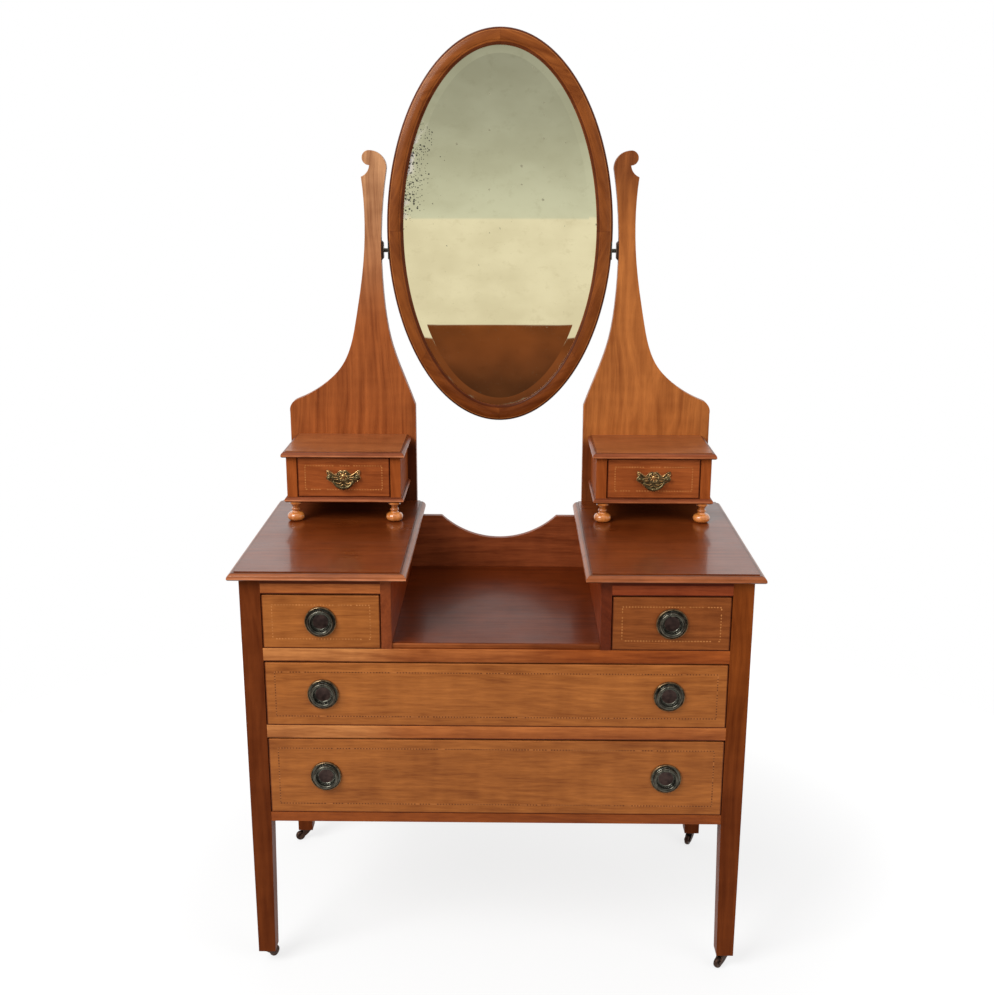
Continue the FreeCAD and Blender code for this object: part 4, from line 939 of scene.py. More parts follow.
class DRESSING_TABLE_OT_carcase(bpy.types.Operator):
    """Polishes the legs, panels and rails, and gives the hidden boards bare pine"""

    bl_idname = "dressing_table.carcase"
    bl_label = "Carcase"
    bl_options = {"REGISTER", "UNDO"}

    def execute(self, context):
        dress("front_legs", polished("polished_leg"))
        dress("rear_legs", polished("polished_leg"))
        dress("side_panels", polished("polished_panel"))
        for rail in ("top_rails", "middle_rail", "lower_rail"):
            dress(rail, polished("polished_rail", rail))
        dress("bottom_rail", polished("polished_low_rail"))
        dress("recess_sides", polished("polished_wall"))
        dress("recess_back", polished("polished_scoop"))
        dress("recess_shelf", polished("polished_shelf"))
        dress("back_panel", bare_pine("pine_upright", "Z"))
        dress("pedestal_backs", bare_pine("pine_level", "X"))
        dress("drawer_runners", bare_pine("pine_runner", "Y"))
        dress("drawer_stops", bare_pine("pine_level", "X"))
        return {"FINISHED"}


class DRESSING_TABLE_OT_tops(bpy.types.Operator):
    """Polishes the moulded tops of the pedestals"""

    bl_idname = "dressing_table.tops"
    bl_label = "Tops"
    bl_options = {"REGISTER", "UNDO"}

    def execute(self, context):
        dress("pedestal_tops", polished("polished_top"), rounding=0)
        return {"FINISHED"}


DRAWERS = ("lower_drawer", "upper_drawer", "left_drawer", "right_drawer")
BOX_DRAWERS = ("left_trinket_drawer", "right_trinket_drawer")
LINING_THICKNESS = 0.0102
DRAWER_ROUNDING = 0.5


class DRESSING_TABLE_OT_drawers(bpy.types.Operator):
    """Polishes the drawer fronts and lines the drawers with pine"""

    bl_idname = "dressing_table.drawers"
    bl_label = "Drawers"
    bl_options = {"REGISTER", "UNDO"}

    def execute(self, context):
        for drawer in DRAWERS + BOX_DRAWERS:
            wood = "polished_box_front" if drawer in BOX_DRAWERS else "polished_front"
            if drawer == "right_drawer":
                wood = "polished_right_front"
            dress(drawer + "_front", polished(wood, drawer + "_front"), DRAWER_ROUNDING)
            low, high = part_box(drawer + "_box")
            sides = (low.x, high.x, LINING_THICKNESS)
            dress(drawer + "_box", bare_pine(drawer + "_lining", "X", sides), DRAWER_ROUNDING)
        return {"FINISHED"}


# A chequer is lost where its wear is above this.
LOST_CHEQUER = 0.78
# A chequer's width as a share of the line's, where in its step it starts, its length in steps and how much
# wear changes that.
CHEQUER_SHARE = 0.85
CHEQUER_START = 0.26
CHEQUER_LENGTH = 0.45
CHEQUER_SPREAD = 0.15
# How far the line stands proud of the front and runs into it, and how much more and less its chequers do.
LINE_PROUD = 0.06
LINE_DEPTH = 0.8
CHEQUER_PROUD = 0.03
CHEQUER_SHORT = 0.1


class DRESSING_TABLE_OT_stringing(bpy.types.Operator):
    """Lets a chequered band of light and dark wood into each drawer front"""

    bl_idname = "dressing_table.stringing"
    bl_label = "Stringing"
    bl_options = {"REGISTER", "UNDO"}

    def execute(self, context):
        sizes = context.scene.table_sizes
        ground = string_wood("string_ground", "light_string")
        for drawer in DRAWERS + BOX_DRAWERS:
            long = drawer in ("lower_drawer", "upper_drawer")
            inset = sizes.box_stringing_inset if drawer in BOX_DRAWERS else sizes.stringing_inset
            tone = "dark_string" if long else "pale_string"
            shape = Shape()
            self.band(shape, drawer + "_front", inset / MM, sizes, long)
            finishes = [ground, string_wood("string_" + tone, tone)]
            piece(drawer + "_stringing", shape, finishes, drawer)
        return {"FINISHED"}

    def band(self, shape, front, inset, sizes, lined):
        """Chequers round the front, some of them lost, in a faded line on the long drawers."""
        low, high = box_in_mm(front)
        half = sizes.stringing_width / MM / 2
        narrow = half * CHEQUER_SHARE
        step = sizes.stringing_step / MM
        near, far = low.y - LINE_PROUD, low.y + LINE_DEPTH
        left, right, foot, head = low.x + inset, high.x - inset, low.z + inset, high.z - inset
        if lined:
            for z in (foot, head):
                shape.block((left - half, near, z - half), (right + half, far, z + half))
            for x in (left, right):
                shape.block((x - half, near, foot + half), (x + half, far, head - half))
        runs = [(left - half, right + half, z, True) for z in (foot, head)]
        runs += [(foot + half, head - half, x, False) for x in (left, right)]
        for start, end, line, level in runs:
            count = round((end - start) / step)
            pitch = (end - start) / count
            for index in range(count):
                wear = math.sin(index * 12.9898 + line * 0.37) * math.sin(index * 0.61 + line)
                if wear > LOST_CHEQUER:
                    continue
                begin = start + pitch * (index + CHEQUER_START)
                finish = begin + pitch * (CHEQUER_LENGTH + CHEQUER_SPREAD * wear)
                first, last = (begin, line - narrow), (finish, line + narrow)
                if not level:
                    first, last = first[::-1], last[::-1]
                outer, inner = near - CHEQUER_PROUD, far - CHEQUER_SHORT
                shape.block((first[0], outer, first[1]), (last[0], inner, last[1]), 1)


# Half sections of a ring pull's plate, its rim and its dish: radius and height above the drawer front, from
# the middle of the back, round the edge, to the middle of the front.
PLATE_PROFILE = ((0.0, 0.3), (25.0, 0.3), (25.0, 2.35), (24.4, 2.3), (22.0, 2.5), (21.2, 2.5), (20.8, 2.95),
                 (20.2, 2.95), (19.8, 2.5), (17.2, 2.5), (16.8, 2.1), (14.4, 2.1), (13.9, 2.6), (13.5, 2.6),
                 (13.1, 2.2), (13.0, 0.9), (0.0, 0.9))
RIM_PROFILE = ((0.0, 0.0), (27.5, 0.0), (27.5, 2.2), (27.3, 3.2), (26.8, 4.0), (26.2, 4.3), (25.6, 4.0),
               (25.1, 3.3), (24.8, 2.0), (24.8, 0.4), (0.0, 0.4))
DISH_PROFILE = ((0.0, 0.6), (13.05, 0.6), (13.05, 2.15), (11.6, 1.9), (8.0, 1.55), (4.0, 1.3), (0.0, 1.25))
RING_RADIUS = 19.0
RING_DROP = 0.6
RING_STANDOFF = 7.1
LUG_HALF_WIDTH = 4.0
LUG_RADIUS = 4.0
# Half section of a lug's knuckle, and its neck: height above the front, half width and half height.
KNUCKLE = ((0, -4.0), (3.2, -4.0), (3.8, -3.5), (4.0, -2.8), (3.75, -0.6), (3.75, 0.6), (4.0, 2.8),
           (3.8, 3.5), (3.2, 4.0), (0, 4.0))
NECK = ((0.6, 4.6, 4.4), (2.2, 4.6, 4.4), (3.0, 3.9, 3.4), (4.2, 3.6, 2.7), (6.2, 3.6, 2.6))
DISH_BEADS = 34
BEAD_CIRCLE = 15.6
BEAD_HEIGHT = 2.3
# Places of the finishes on a pull's plate, after the metal of the plate itself.
STEEL = 1
DISH = 2
RIM = 3
# Collars of a drop ring: their places as shares of a turn, their spread and their rise.
RING_COLLARS = (0.07, 0.93)
COLLAR_SPREAD = 0.035
COLLAR_RISE = 0.5
RING_KNOB = ((0, 0), (2.2, 0), (2.2, 1.2), (1.6, 2.4), (0, 2.6))
RING_PIN_RADIUS = 1.9
RING_BOLT = ((0, 3.0), (2.2, 3.0), (2.2, 6.2), (1.6, 6.8), (0, 6.8))


def square_nut(shape, spot, half, arris, crown, bolt, segments):
    """A square nut inside a drawer front, its arris and crown that high, with its bolt's end."""
    corners = ((-half, -half), (half, -half), (half, half), (-half, half))
    rows = []
    for share, height in ((1.0, -0.2), (1.0, arris), (0.86, crown)):
        rows.append([spot + Vector((x * share, height, z * share)) for x, z in corners])
    shape.skin(rows, STEEL)
    shape.lathe(bolt, facing(spot, (0, 1, 0)), segments, STEEL)


class DRESSING_TABLE_OT_ring_pulls(bpy.types.Operator):
    """Turns the ring pulls' plates and casts their lugs and drop rings"""

    bl_idname = "dressing_table.ring_pulls"
    bl_label = "Ring pulls"
    bl_options = {"REGISTER", "UNDO"}

    def execute(self, context):
        sizes = context.scene.table_sizes
        finishes = [metal(name) for name in ("bronzed_brass", "dull_steel", "dish_lacquer", "worn_rim")]
        for drawer in DRAWERS:
            rings = [body for body in frame["bodies"] if body.startswith(drawer + "_ring")]
            plates = Shape()
            for ring in rings:
                low, high = box_in_mm(ring)
                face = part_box(drawer + "_front")[0].y / MM
                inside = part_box(drawer + "_front")[1].y / MM
                centre = Vector(((low.x + high.x) / 2, face, low.z + RING_RADIUS + LUG_RADIUS))
                self.plate(plates, centre, sizes)
                spot = Vector((centre.x, inside, centre.z + RING_RADIUS))
                square_nut(plates, spot, 5.5, 3.2, 4.0, RING_BOLT, 20)
                drop = Shape()
                self.ring(drop, centre, sizes)
                piece(ring + "_cast", drop, finishes[:1], ring, [ring])
            piece(drawer + "_ring_plates", plates, finishes, drawer, [drawer + "_plates"])
        return {"FINISHED"}

    def plate(self, shape, centre, sizes):
        outward = facing(centre, (0, -1, 0))
        shape.lathe(PLATE_PROFILE, outward, 96)
        shape.lathe(RIM_PROFILE, outward, 96, RIM)
        shape.lathe(DISH_PROFILE, outward, 64, DISH)
        for turn in turns(DISH_BEADS, 0.5):
            shape.bead(on_circle(outward, BEAD_CIRCLE, turn, BEAD_HEIGHT), sizes.bead / MM, segments=10)
        pin = centre + Vector((0, -RING_STANDOFF, RING_RADIUS))
        shape.lathe(KNUCKLE, facing(pin, (1, 0, 0)), 32)
        neck = []
        for rise, wide, tall in NECK:
            middle = centre + Vector((0, -rise, RING_RADIUS))
            around = [Vector((wide * math.cos(turn), 0, tall * math.sin(turn))) for turn in turns(24)]
            neck.append([middle + spot for spot in around])
        shape.skin(neck)

    def ring(self, shape, centre, sizes):
        heart = centre + Vector((0, -RING_STANDOFF, 0))
        thick = sizes.ring_thickness / MM / 2
        opening = math.asin((LUG_HALF_WIDTH + 0.5) / RING_RADIUS)
        path = []
        radii = []
        steps = 72
        for step in range(steps + 1):
            turn = opening + (TURN - 2 * opening) * step / steps
            swell = math.sin(turn / 2) ** 2
            reach = RING_RADIUS + RING_DROP * swell
            path.append(heart + Vector((reach * math.sin(turn), 0, reach * math.cos(turn))))
            collar = sum(math.exp(-((turn - TURN * at) / COLLAR_SPREAD) ** 2) for at in RING_COLLARS)
            radii.append(min(thick * (0.8 + 0.2 * swell) + COLLAR_RISE * collar, thick))
        shape.tube(path, radii, 20)
        for side in (1, -1):
            start = LUG_HALF_WIDTH + 0.45
            spot = heart + Vector((side * start, 0, RING_RADIUS))
            shape.lathe(RING_KNOB, facing(spot, (side, 0, 0)), 20)
        reach = LUG_HALF_WIDTH + 1.2
        pin = heart + Vector((-reach, 0, RING_RADIUS))
        profile = ((0, 0), (RING_PIN_RADIUS, 0), (RING_PIN_RADIUS, 2 * reach), (0, 2 * reach))
        shape.lathe(profile, facing(pin, (1, 0, 0)), 20)


# Place of the rubbed brass among a drop handle's finishes.
RUBBED = 2
HANDLE_BOLT = ((0, 2.0), (1.3, 2.0), (1.3, 3.8), (0.9, 4.2), (0, 4.2))
BAIL_POST_X = 26.8
BAIL_RADIUS = 20.0
BAIL_STANDOFF = 7.0
ROSETTE_RISE = 2.4
# Right half of the drop handle's plate outline, from its upper middle to its foot, seen from the front.
PLATE_WING = ((0.0, 13.0), (4.0, 14.3), (8.2, 12.6), (11.8, 9.2), (15.4, 6.6), (19.2, 7.8), (23.2, 10.9),
              (27.2, 13.6), (30.8, 14.6), (32.6, 12.0), (32.0, 8.0), (30.8, 4.2), (32.8, 1.0), (32.8, -3.0),
              (29.6, -6.6), (25.4, -8.6), (22.0, -11.4), (18.8, -15.0), (14.4, -18.0), (9.4, -20.0),
              (4.4, -20.8), (0.0, -21.8))
# Steps of the plate's edge from the drawer front outwards: inset and height.
PLATE_EDGE = ((0.0, 0.0), (0.0, 1.2), (0.3, 1.8), (0.75, 2.0), (1.15, 1.8), (1.35, 1.25))
# Half sections of a handle's post, its rosette and the rosette's boss: radius and height.
BAIL_POST = ((0, 0), (5.4, 0), (5.4, 1.6), (4.9, 2.2), (3.4, 2.7), (2.9, 3.6), (3.3, 4.4), (3.8, 5.0),
             (3.8, 8.6), (3.3, 9.9), (2.1, 10.7), (0, 10.9))
ROSETTE = ((0, 0), (10.2, 0), (10.2, 1.7), (9.6, 2.1), (8.2, 1.8), (3.0, 2.4), (0, 2.6))
ROSETTE_BOSS = ((0, 1.5), (4.6, 1.5), (4.6, 2.8), (4.2, 3.8), (3.1, 4.8), (1.6, 5.4), (0, 5.6))
# Petals and beads of the rosette: how many, the radius of their circle and their size.
PETALS = 8
PETAL_CIRCLE = 6.4
PETAL_STRETCH = (2.2, 0.95, 1.5)
ROSETTE_BEADS = 24
ROSETTE_BEAD_CIRCLE = 9.2
ROSETTE_BEAD = 0.72
ROSETTE_FACE = 2.1
# A waist, a knop and a collar on each arm of the bail: rise, angle from its middle and spread.
BAIL_TURNINGS = ((-0.9, 0.19, 0.045), (0.35, 0.28, 0.04), (0.7, 1.18, 0.05))
BAIL_END_RADIUS = 2.0
BAIL_EYE_RADIUS = 2.2
BAIL_PIN = ((0, 0), (1.4, 0), (1.4, 7.6), (0, 7.6))
# Leaf ribs of the right wing, from the rosette outwards, seen from the front.
LEAF_RIBS = (
    ((10.0, 3.6), (15.0, 3.4), (19.0, 5.6), (22.6, 9.2), (26.6, 11.2)),
    ((10.6, 0.0), (15.0, -0.4), (19.0, 0.4), (21.6, 1.0)),
    ((10.0, -3.6), (14.4, -4.4), (18.4, -3.8), (22.6, -4.6), (27.0, -5.0)),
    ((4.0, -10.6), (8.0, -12.6), (12.6, -11.8), (17.0, -9.0), (20.6, -7.0)),
    ((1.2, -14.6), (5.4, -17.0), (10.4, -16.6), (15.0, -13.6), (18.4, -10.4)),
)
SCROLL_X = 28.4
SCROLL_Z = 8.2


class DRESSING_TABLE_OT_drop_handles(bpy.types.Operator):
    """Casts the winged plates and drop handles of the trinket drawers"""

    bl_idname = "dressing_table.drop_handles"
    bl_label = "Drop handles"
    bl_options = {"REGISTER", "UNDO"}

    def execute(self, context):
        sizes = context.scene.table_sizes
        for drawer in BOX_DRAWERS:
            low, high = box_in_mm(drawer + "_plate")
            front, back = box_in_mm(drawer + "_front")
            centre = Vector(((low.x + high.x) / 2, front.y, (low.z + high.z) / 2))
            plate = Shape()
            self.plate(plate, centre)
            for side in (-1, 1):
                spot = centre + Vector((side * BAIL_POST_X, back.y - front.y, 0))
                square_nut(plate, spot, 3.4, 2.0, 2.6, HANDLE_BOLT, 16)
            finishes = [metal(name) for name in ("cast_brass", "dull_steel", "rubbed_cast_brass")]
            piece(drawer + "_winged_plate", plate, finishes, drawer, [drawer + "_plate"])
            drop = Shape()
            self.bail(drop, centre, sizes)
            bail = drawer + "_bail"
            piece(drawer + "_drop_handle", drop, finishes[:1], bail, [bail])
        return {"FINISHED"}

    def outline(self):
        """The whole outline, rounded between its half's points and their mirror images."""
        right = list(PLATE_WING)
        left = [(-x, z) for x, z in reversed(right[1:-1])]
        points = [Vector((x, z)) for x, z in right + left]
        count = len(points)
        rounded = []
        for index in range(count):
            a, b, c, d = (points[(index + step) % count] for step in (-1, 0, 1, 2))
            for part in range(5):
                t = part / 5
                rounded.append(0.5 * (2 * b + (c - a) * t + (2 * a - 5 * b + 4 * c - d) * t * t
                                      + (3 * b - a - 3 * c + d) * t ** 3))
        return rounded

    def plate(self, shape, centre):
        outline = self.outline()
        count = len(outline)
        inward = []
        for index in range(count):
            ahead = (outline[(index + 1) % count] - outline[index - 1]).normalized()
            inward.append(Vector((ahead.y, -ahead.x)))
        rows = []
        for inset, rise in PLATE_EDGE:
            flat = [spot + way * inset for spot, way in zip(outline, inward)]
            rows.append([centre + Vector((spot.x, -rise, spot.y)) for spot in flat])
        shape.skin(rows, finishes={1: RUBBED, 2: RUBBED, 3: RUBBED})
        self.rosette(shape, centre)
        for side in (-1, 1):
            self.wing(shape, centre, side)
            post = centre + Vector((side * BAIL_POST_X, 0, 0))
            shape.lathe(BAIL_POST, facing(post, (0, -1, 0)), 32)

    def rosette(self, shape, centre):
        outward = facing(centre + Vector((0, 0, ROSETTE_RISE)), (0, -1, 0))
        shape.lathe(ROSETTE, outward, 48)
        for turn in turns(PETALS):
            spot = on_circle(outward, PETAL_CIRCLE, turn, ROSETTE_FACE)
            lie = Vector((1, 0, 0)).rotation_difference(Vector((math.cos(turn), 0, math.sin(turn))))
            shape.bead(spot, 1.0, PETAL_STRETCH, lie.to_matrix().to_4x4(), RUBBED)
        shape.lathe(ROSETTE_BOSS, outward, 32, RUBBED)
        for turn in turns(ROSETTE_BEADS):
            spot = on_circle(outward, ROSETTE_BEAD_CIRCLE, turn, ROSETTE_FACE)
            shape.bead(spot, ROSETTE_BEAD, segments=8)

    def wing(self, shape, centre, side):
        """Leaf ribs from the rosette, and the scroll that ends the ear."""
        for rib in LEAF_RIBS:
            path = [centre + Vector((side * x, -1.7, z)) for x, z in rib]
            count = len(path)
            swells = [math.sin(math.pi * (index + 0.6) / (count + 0.4)) for index in range(count)]
            radii = [0.35 + 0.75 * swell for swell in swells]
            shape.tube(path, radii, 10, RUBBED)
        scroll = []
        radii = []
        steps = 40
        for step in range(steps + 1):
            share = step / steps
            turn = math.pi * (0.75 - 2.6 * share)
            reach = 4.4 - 3.5 * share
            spot = Vector((SCROLL_X + reach * math.cos(turn), 0, SCROLL_Z + reach * math.sin(turn)))
            scroll.append(centre + Vector((side * spot.x, -1.9, spot.z)))
            radii.append(0.9 - 0.25 * share)
        shape.tube(scroll, radii, 10, RUBBED)
        shape.bead(centre + Vector((side * SCROLL_X, -1.9, SCROLL_Z)), 1.15, finish=RUBBED)

    def bail(self, shape, centre, sizes):
        heart = centre + Vector((0, -BAIL_STANDOFF, 0))
        thick = sizes.bail_thickness / MM / 2
        path = []
        radii = []
        steps = 96
        for step in range(steps + 1):
            turn = math.pi * step / steps
            path.append(heart - BAIL_RADIUS * Vector((math.cos(turn), 0, math.sin(turn))))
            radius = BAIL_END_RADIUS + (thick - BAIL_END_RADIUS) * math.sin(turn) ** 2
            off = abs(turn - math.pi / 2)
            for rise, at, spread in BAIL_TURNINGS:
                radius += rise * math.exp(-((off - at) / spread) ** 2)
            radii.append(radius)
        shape.tube(path, radii, 18)
        for side in (-1, 1):
            end = heart + Vector((side * BAIL_RADIUS, 0, 0))
            shape.bead(end, BAIL_EYE_RADIUS, segments=18)
            shape.lathe(BAIL_PIN, facing(end, (side, 0, 0)), 18)


class DRESSING_TABLE_OT_trinket_boxes(bpy.types.Operator):
    """Polishes the trinket boxes and their bun feet"""

    bl_idname = "dressing_table.trinket_boxes"
    bl_label = "Trinket boxes"
    bl_options = {"REGISTER", "UNDO"}

    def execute(self, context):
        dress("trinket_tops", polished("polished_box_top"), rounding=0)
        dress("trinket_bases", polished("polished_box_base"))
        dress("trinket_sides", polished("polished_box_side"))
        dress("trinket_feet", turned_wood(), rounding=0)
        return {"FINISHED"}


# Sections of the block round each pivot's boss: depth from the standard's edge towards the mirror, half
# width, half height and squareness. The last two run down inside the boss.
PIVOT_BLOCK = ((-1.0, 9.8, 19.0, 8.0), (0.8, 9.8, 19.0, 8.0), (3.9, 9.5, 15.6, 8.0), (4.5, 9.2, 14.6, 8.0),
               (4.5, 8.6, 8.6, 2.0), (-1.0, 8.6, 8.6, 2.0))
BLOCK_STEPS = 64


def rounded_outline(across, tall, squareness):
    """Points round an oval of that half width and half height, squarer as squareness rises above 2."""
    outline = []
    for turn in turns(BLOCK_STEPS, 0.5):
        aside, up = math.cos(turn), math.sin(turn)
        reach = (abs(aside) ** squareness + abs(up) ** squareness) ** (-1 / squareness)
        outline.append((across * reach * aside, tall * reach * up))
    return outline


class DRESSING_TABLE_OT_standards(bpy.types.Operator):
    """Polishes the scrolled standards, bronzes the pivots and sets an iron block round each"""

    bl_idname = "dressing_table.standards"
    bl_label = "Standards"
    bl_options = {"REGISTER", "UNDO"}

    def execute(self, context):
        dress("mirror_standards", polished("polished_standard"))
        dress("pivot_brackets", metal("bronzed_brass"), rounding=0)
        dress("mirror_pivots", metal("bronzed_brass"), rounding=0)
        low, high = box_in_mm("pivot_brackets")
        middle = (low + high) / 2
        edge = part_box("mirror_pivots")[1].x / MM
        blocks = Shape()
        for side in (-1, 1):
            rows = []
            for depth, across, tall, squareness in PIVOT_BLOCK:
                outline = rounded_outline(across, tall, squareness)
                rows.append([Vector((side * (edge - depth), middle.y + y, middle.z + z)) for y, z in outline])
            blocks.skin(rows, looped=True)
        piece("pivot_blocks", blocks, [metal("worn_iron")], "case")
        return {"FINISHED"}


# Section of the oval frame: inset from its outer edge, and depth behind its front. The step from the light
# line's row to the next is in light stringing wood, painted there as the highlight along the moulding, and
# those from the dark edges' rows are in a darker polish, painted as the shade at the outer edge and the lip.
FRAME_SECTION = ((0.0, 20.0), (0.0, 8.5), (0.6, 6.6), (1.8, 5.0), (3.2, 4.2), (4.2, 3.75), (4.25, 3.65),
                 (5.35, 3.25), (5.4, 3.3), (8.0, 2.3), (11.0, 1.2), (14.0, 0.45), (17.0, 0.08), (19.5, 0.0),
                 (21.5, 0.15), (22.6, 0.5), (22.9, 1.3), (24.5, 1.5), (26.5, 1.9), (28.5, 2.6), (30.2, 3.5),
                 (31.4, 4.6), (32.0, 5.9), (31.8, 6.0), (26.0, 6.0), (26.0, 20.0))
HIGHLIGHT_LINE = 6
SHADED_EDGES = (0, 1, 2, 3, 4, 5, 18, 19, 20)
OVAL_STEPS = 192
# Section of the glass: inset from the frame's outer edge and depth behind the glass's front, after its back.
GLASS_REBATE = 26.5
GLASS_BEVEL = ((GLASS_REBATE, 3.0), (46.4, 0.06), (46.6, 0.02), (47.2, 0.0))


def oval(centre, across, tall, back):
    """A closed row of points round an upright oval."""
    row = []
    for turn in turns(OVAL_STEPS):
        row.append(Vector((centre.x + across * math.cos(turn), back, centre.z + tall * math.sin(turn))))
    return row


class DRESSING_TABLE_OT_mirror(bpy.types.Operator):
    """Runs the oval frame's moulding and grinds the glass's bevel"""

    bl_idname = "dressing_table.mirror"
    bl_label = "Mirror"
    bl_options = {"REGISTER", "UNDO"}

    def execute(self, context):
        low, high = box_in_mm("mirror_frame")
        centre = (low + high) / 2
        half = (high - low) / 2
        front = low.y
        moulding = Shape()
        rows = [oval(centre, half.x - inset, half.z - inset, front + depth) for inset, depth in FRAME_SECTION]
        edges = {pair: 2 for pair in SHADED_EDGES}
        moulding.skin(rows, looped=True, finishes={**edges, HIGHLIGHT_LINE: 1})
        finishes = [oval_wood("oval"), string_wood("frame_highlight_line", "light_string"), oval_wood("oval_edge")]
        piece("mirror_oval_frame", moulding, finishes, "mirror", ["mirror_frame"])
        near, far = box_in_mm("mirror_glass")
        glass = Shape()
        sheet = [(GLASS_REBATE, far.y)] + [(inset, near.y + depth) for inset, depth in GLASS_BEVEL]
        glass.skin([oval(centre, half.x - inset, half.z - inset, y) for inset, y in sheet])
        piece("bevelled_mirror", glass, [silvered()], "mirror", ["mirror_glass"], crease=3)
        dress("mirror_backboard", bare_pine("pine_upright", "Z"), rounding=0)
        return {"FINISHED"}


CORNERS = ("front_left", "front_right", "rear_left", "rear_right")


class DRESSING_TABLE_OT_casters(bpy.types.Operator):
    """Finishes the casters in worn iron"""

    bl_idname = "dressing_table.casters"
    bl_label = "Casters"
    bl_options = {"REGISTER", "UNDO"}

    def execute(self, context):
        dress("caster_plates", metal("worn_iron"), rounding=0)
        for corner in CORNERS:
            dress("caster_fork_" + corner, metal("worn_iron"), rounding=0)
            dress("caster_wheel_" + corner, metal("worn_iron"), rounding=0)
        return {"FINISHED"}


# Screws of each standard: distance from the table's middle, and height.
STANDARD_SCREWS = ((205, 672), (205, 738), (298, 705), (392, 672), (392, 738))
PIVOT_SCREW_RISE = 22
# Nails along the back panel's foot and head, and up its sides, with their insets from its edges.
NAIL_COLUMNS = 8
COLUMN_INSET = 16
HEAD_INSET = 9
NAIL_ROWS = (90, 170, 250)
SIDE_INSET = 12
PANEL_PINS = 26
PIN_INSET = 5


class DRESSING_TABLE_OT_fixings(bpy.types.Operator):
    """Drives the screws, nails and panel pins of the back and the pivots"""

    bl_idname = "dressing_table.fixings"
    bl_label = "Fixings"
    bl_options = {"REGISTER", "UNDO"}

    def execute(self, context):
        sizes = context.scene.table_sizes
        self.case_screws(sizes)
        self.back_nails(sizes)
        self.panel_pins(sizes)
        return {"FINISHED"}

    def case_screws(self, sizes):
        shape = Shape()
        head = sizes.screw_head / MM
        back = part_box("mirror_standards")[1].y / MM
        for side in (-1, 1):
            for x, z in STANDARD_SCREWS:
                shape.slotted_head((side * x, back, z), (0, 1, 0), head, 0.25)
        low, high = box_in_mm("pivot_brackets")
        middle = (low + high) / 2
        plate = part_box("mirror_pivots")[1].x / MM
        for side in (-1, 1):
            for rise in (-PIVOT_SCREW_RISE, PIVOT_SCREW_RISE):
                spot = (side * plate, middle.y, middle.z + rise)
                shape.slotted_head(spot, (-side, 0, 0), head * 0.75, 0.3)
        piece("case_screws", shape, [metal("dull_steel")], "case")

    def back_nails(self, sizes):
        shape = Shape()
        low, high = box_in_mm("back_panel")
        dome = self.dome(sizes.nail_head / MM)
        spread = (high.x - low.x - 2 * COLUMN_INSET) / (NAIL_COLUMNS - 1)
        columns = [low.x + COLUMN_INSET + spread * index for index in range(NAIL_COLUMNS)]
        spots = [(x, z) for x in columns for z in (low.z + HEAD_INSET, high.z - HEAD_INSET)]
        sides = (low.x + SIDE_INSET, high.x - SIDE_INSET)
        spots += [(x, low.z + rise) for rise in NAIL_ROWS for x in sides]
        for x, z in spots:
            shape.lathe(dome, facing((x, high.y, z), (0, 1, 0)), 18)
        piece("back_nails", shape, [metal("dull_steel")], "case")

    def panel_pins(self, sizes):
        shape = Shape()
        low, high = box_in_mm("mirror_backboard")
        centre = (low + high) / 2
        half = (high - low) / 2
        dome = self.dome(sizes.nail_head / MM * 0.8)
        for turn in turns(PANEL_PINS, 0.5):
            x = centre.x + (half.x - PIN_INSET) * math.cos(turn)
            z = centre.z + (half.z - PIN_INSET) * math.sin(turn)
            shape.lathe(dome, facing((x, high.y, z), (0, 1, 0)), 16)
        piece("backboard_pins", shape, [metal("dull_steel")], "mirror")

    @staticmethod
    def dome(radius):
        """Half section of a nail's head."""
        shares = ((0, -0.4), (1, -0.4), (1, 0.15), (0.8, 0.5), (0.45, 0.75), (0, 0.8))
        return [(radius * share, height) for share, height in shares]


FLOOR_REACH = 1.6
FLOOR_STEPS = 96
LAMP_WIDTH = 2.2
LAMP_AIM = Vector((0.0, 0.0, 0.9))
# Tones that the surroundings in front of the table show in gloss and glass: place on the ramp and colour.
UPPER_TONES = ((0.48, (0.72, 0.75, 0.75)), (0.52, (0.45, 0.47, 0.48)), (0.555, (0.30, 0.31, 0.32)),
               (0.80, (0.22, 0.22, 0.22)), (0.93, (1.5, 1.5, 1.5)), (1.0, (2.0, 2.0, 2.0)))
MIDDLE_TONES = ((0.0, (0.86, 0.77, 0.70)), (0.48, (0.90, 0.86, 0.82)), (1.0, (0.90, 0.86, 0.82)))
LOWER_TONES = ((0.0, (0.10, 0.08, 0.07)), (0.36, (0.06, 0.03, 0.018)), (0.4166, (0.13, 0.045, 0.021)),
               (0.4285, (0.21, 0.064, 0.026)), (0.441, (0.27, 0.08, 0.028)))
# Heights at which the lower tones give way to the middle ones, and these to the upper.
MIDDLE_START = (-0.1182, -0.1172)
UPPER_START = (-0.0362, -0.0342)
WHITE = (1.0, 1.0, 1.0)
DAYLIGHT = 0.46
CAMERA_SPOT = (0.0266, -2.1924, 1.4262)
# Yaw, pitch and roll in degrees.
CAMERA_TURNS = (-0.738, 14.937, -0.103)
CAMERA_LENS = 43.98
CAMERA_SENSOR = 36.0


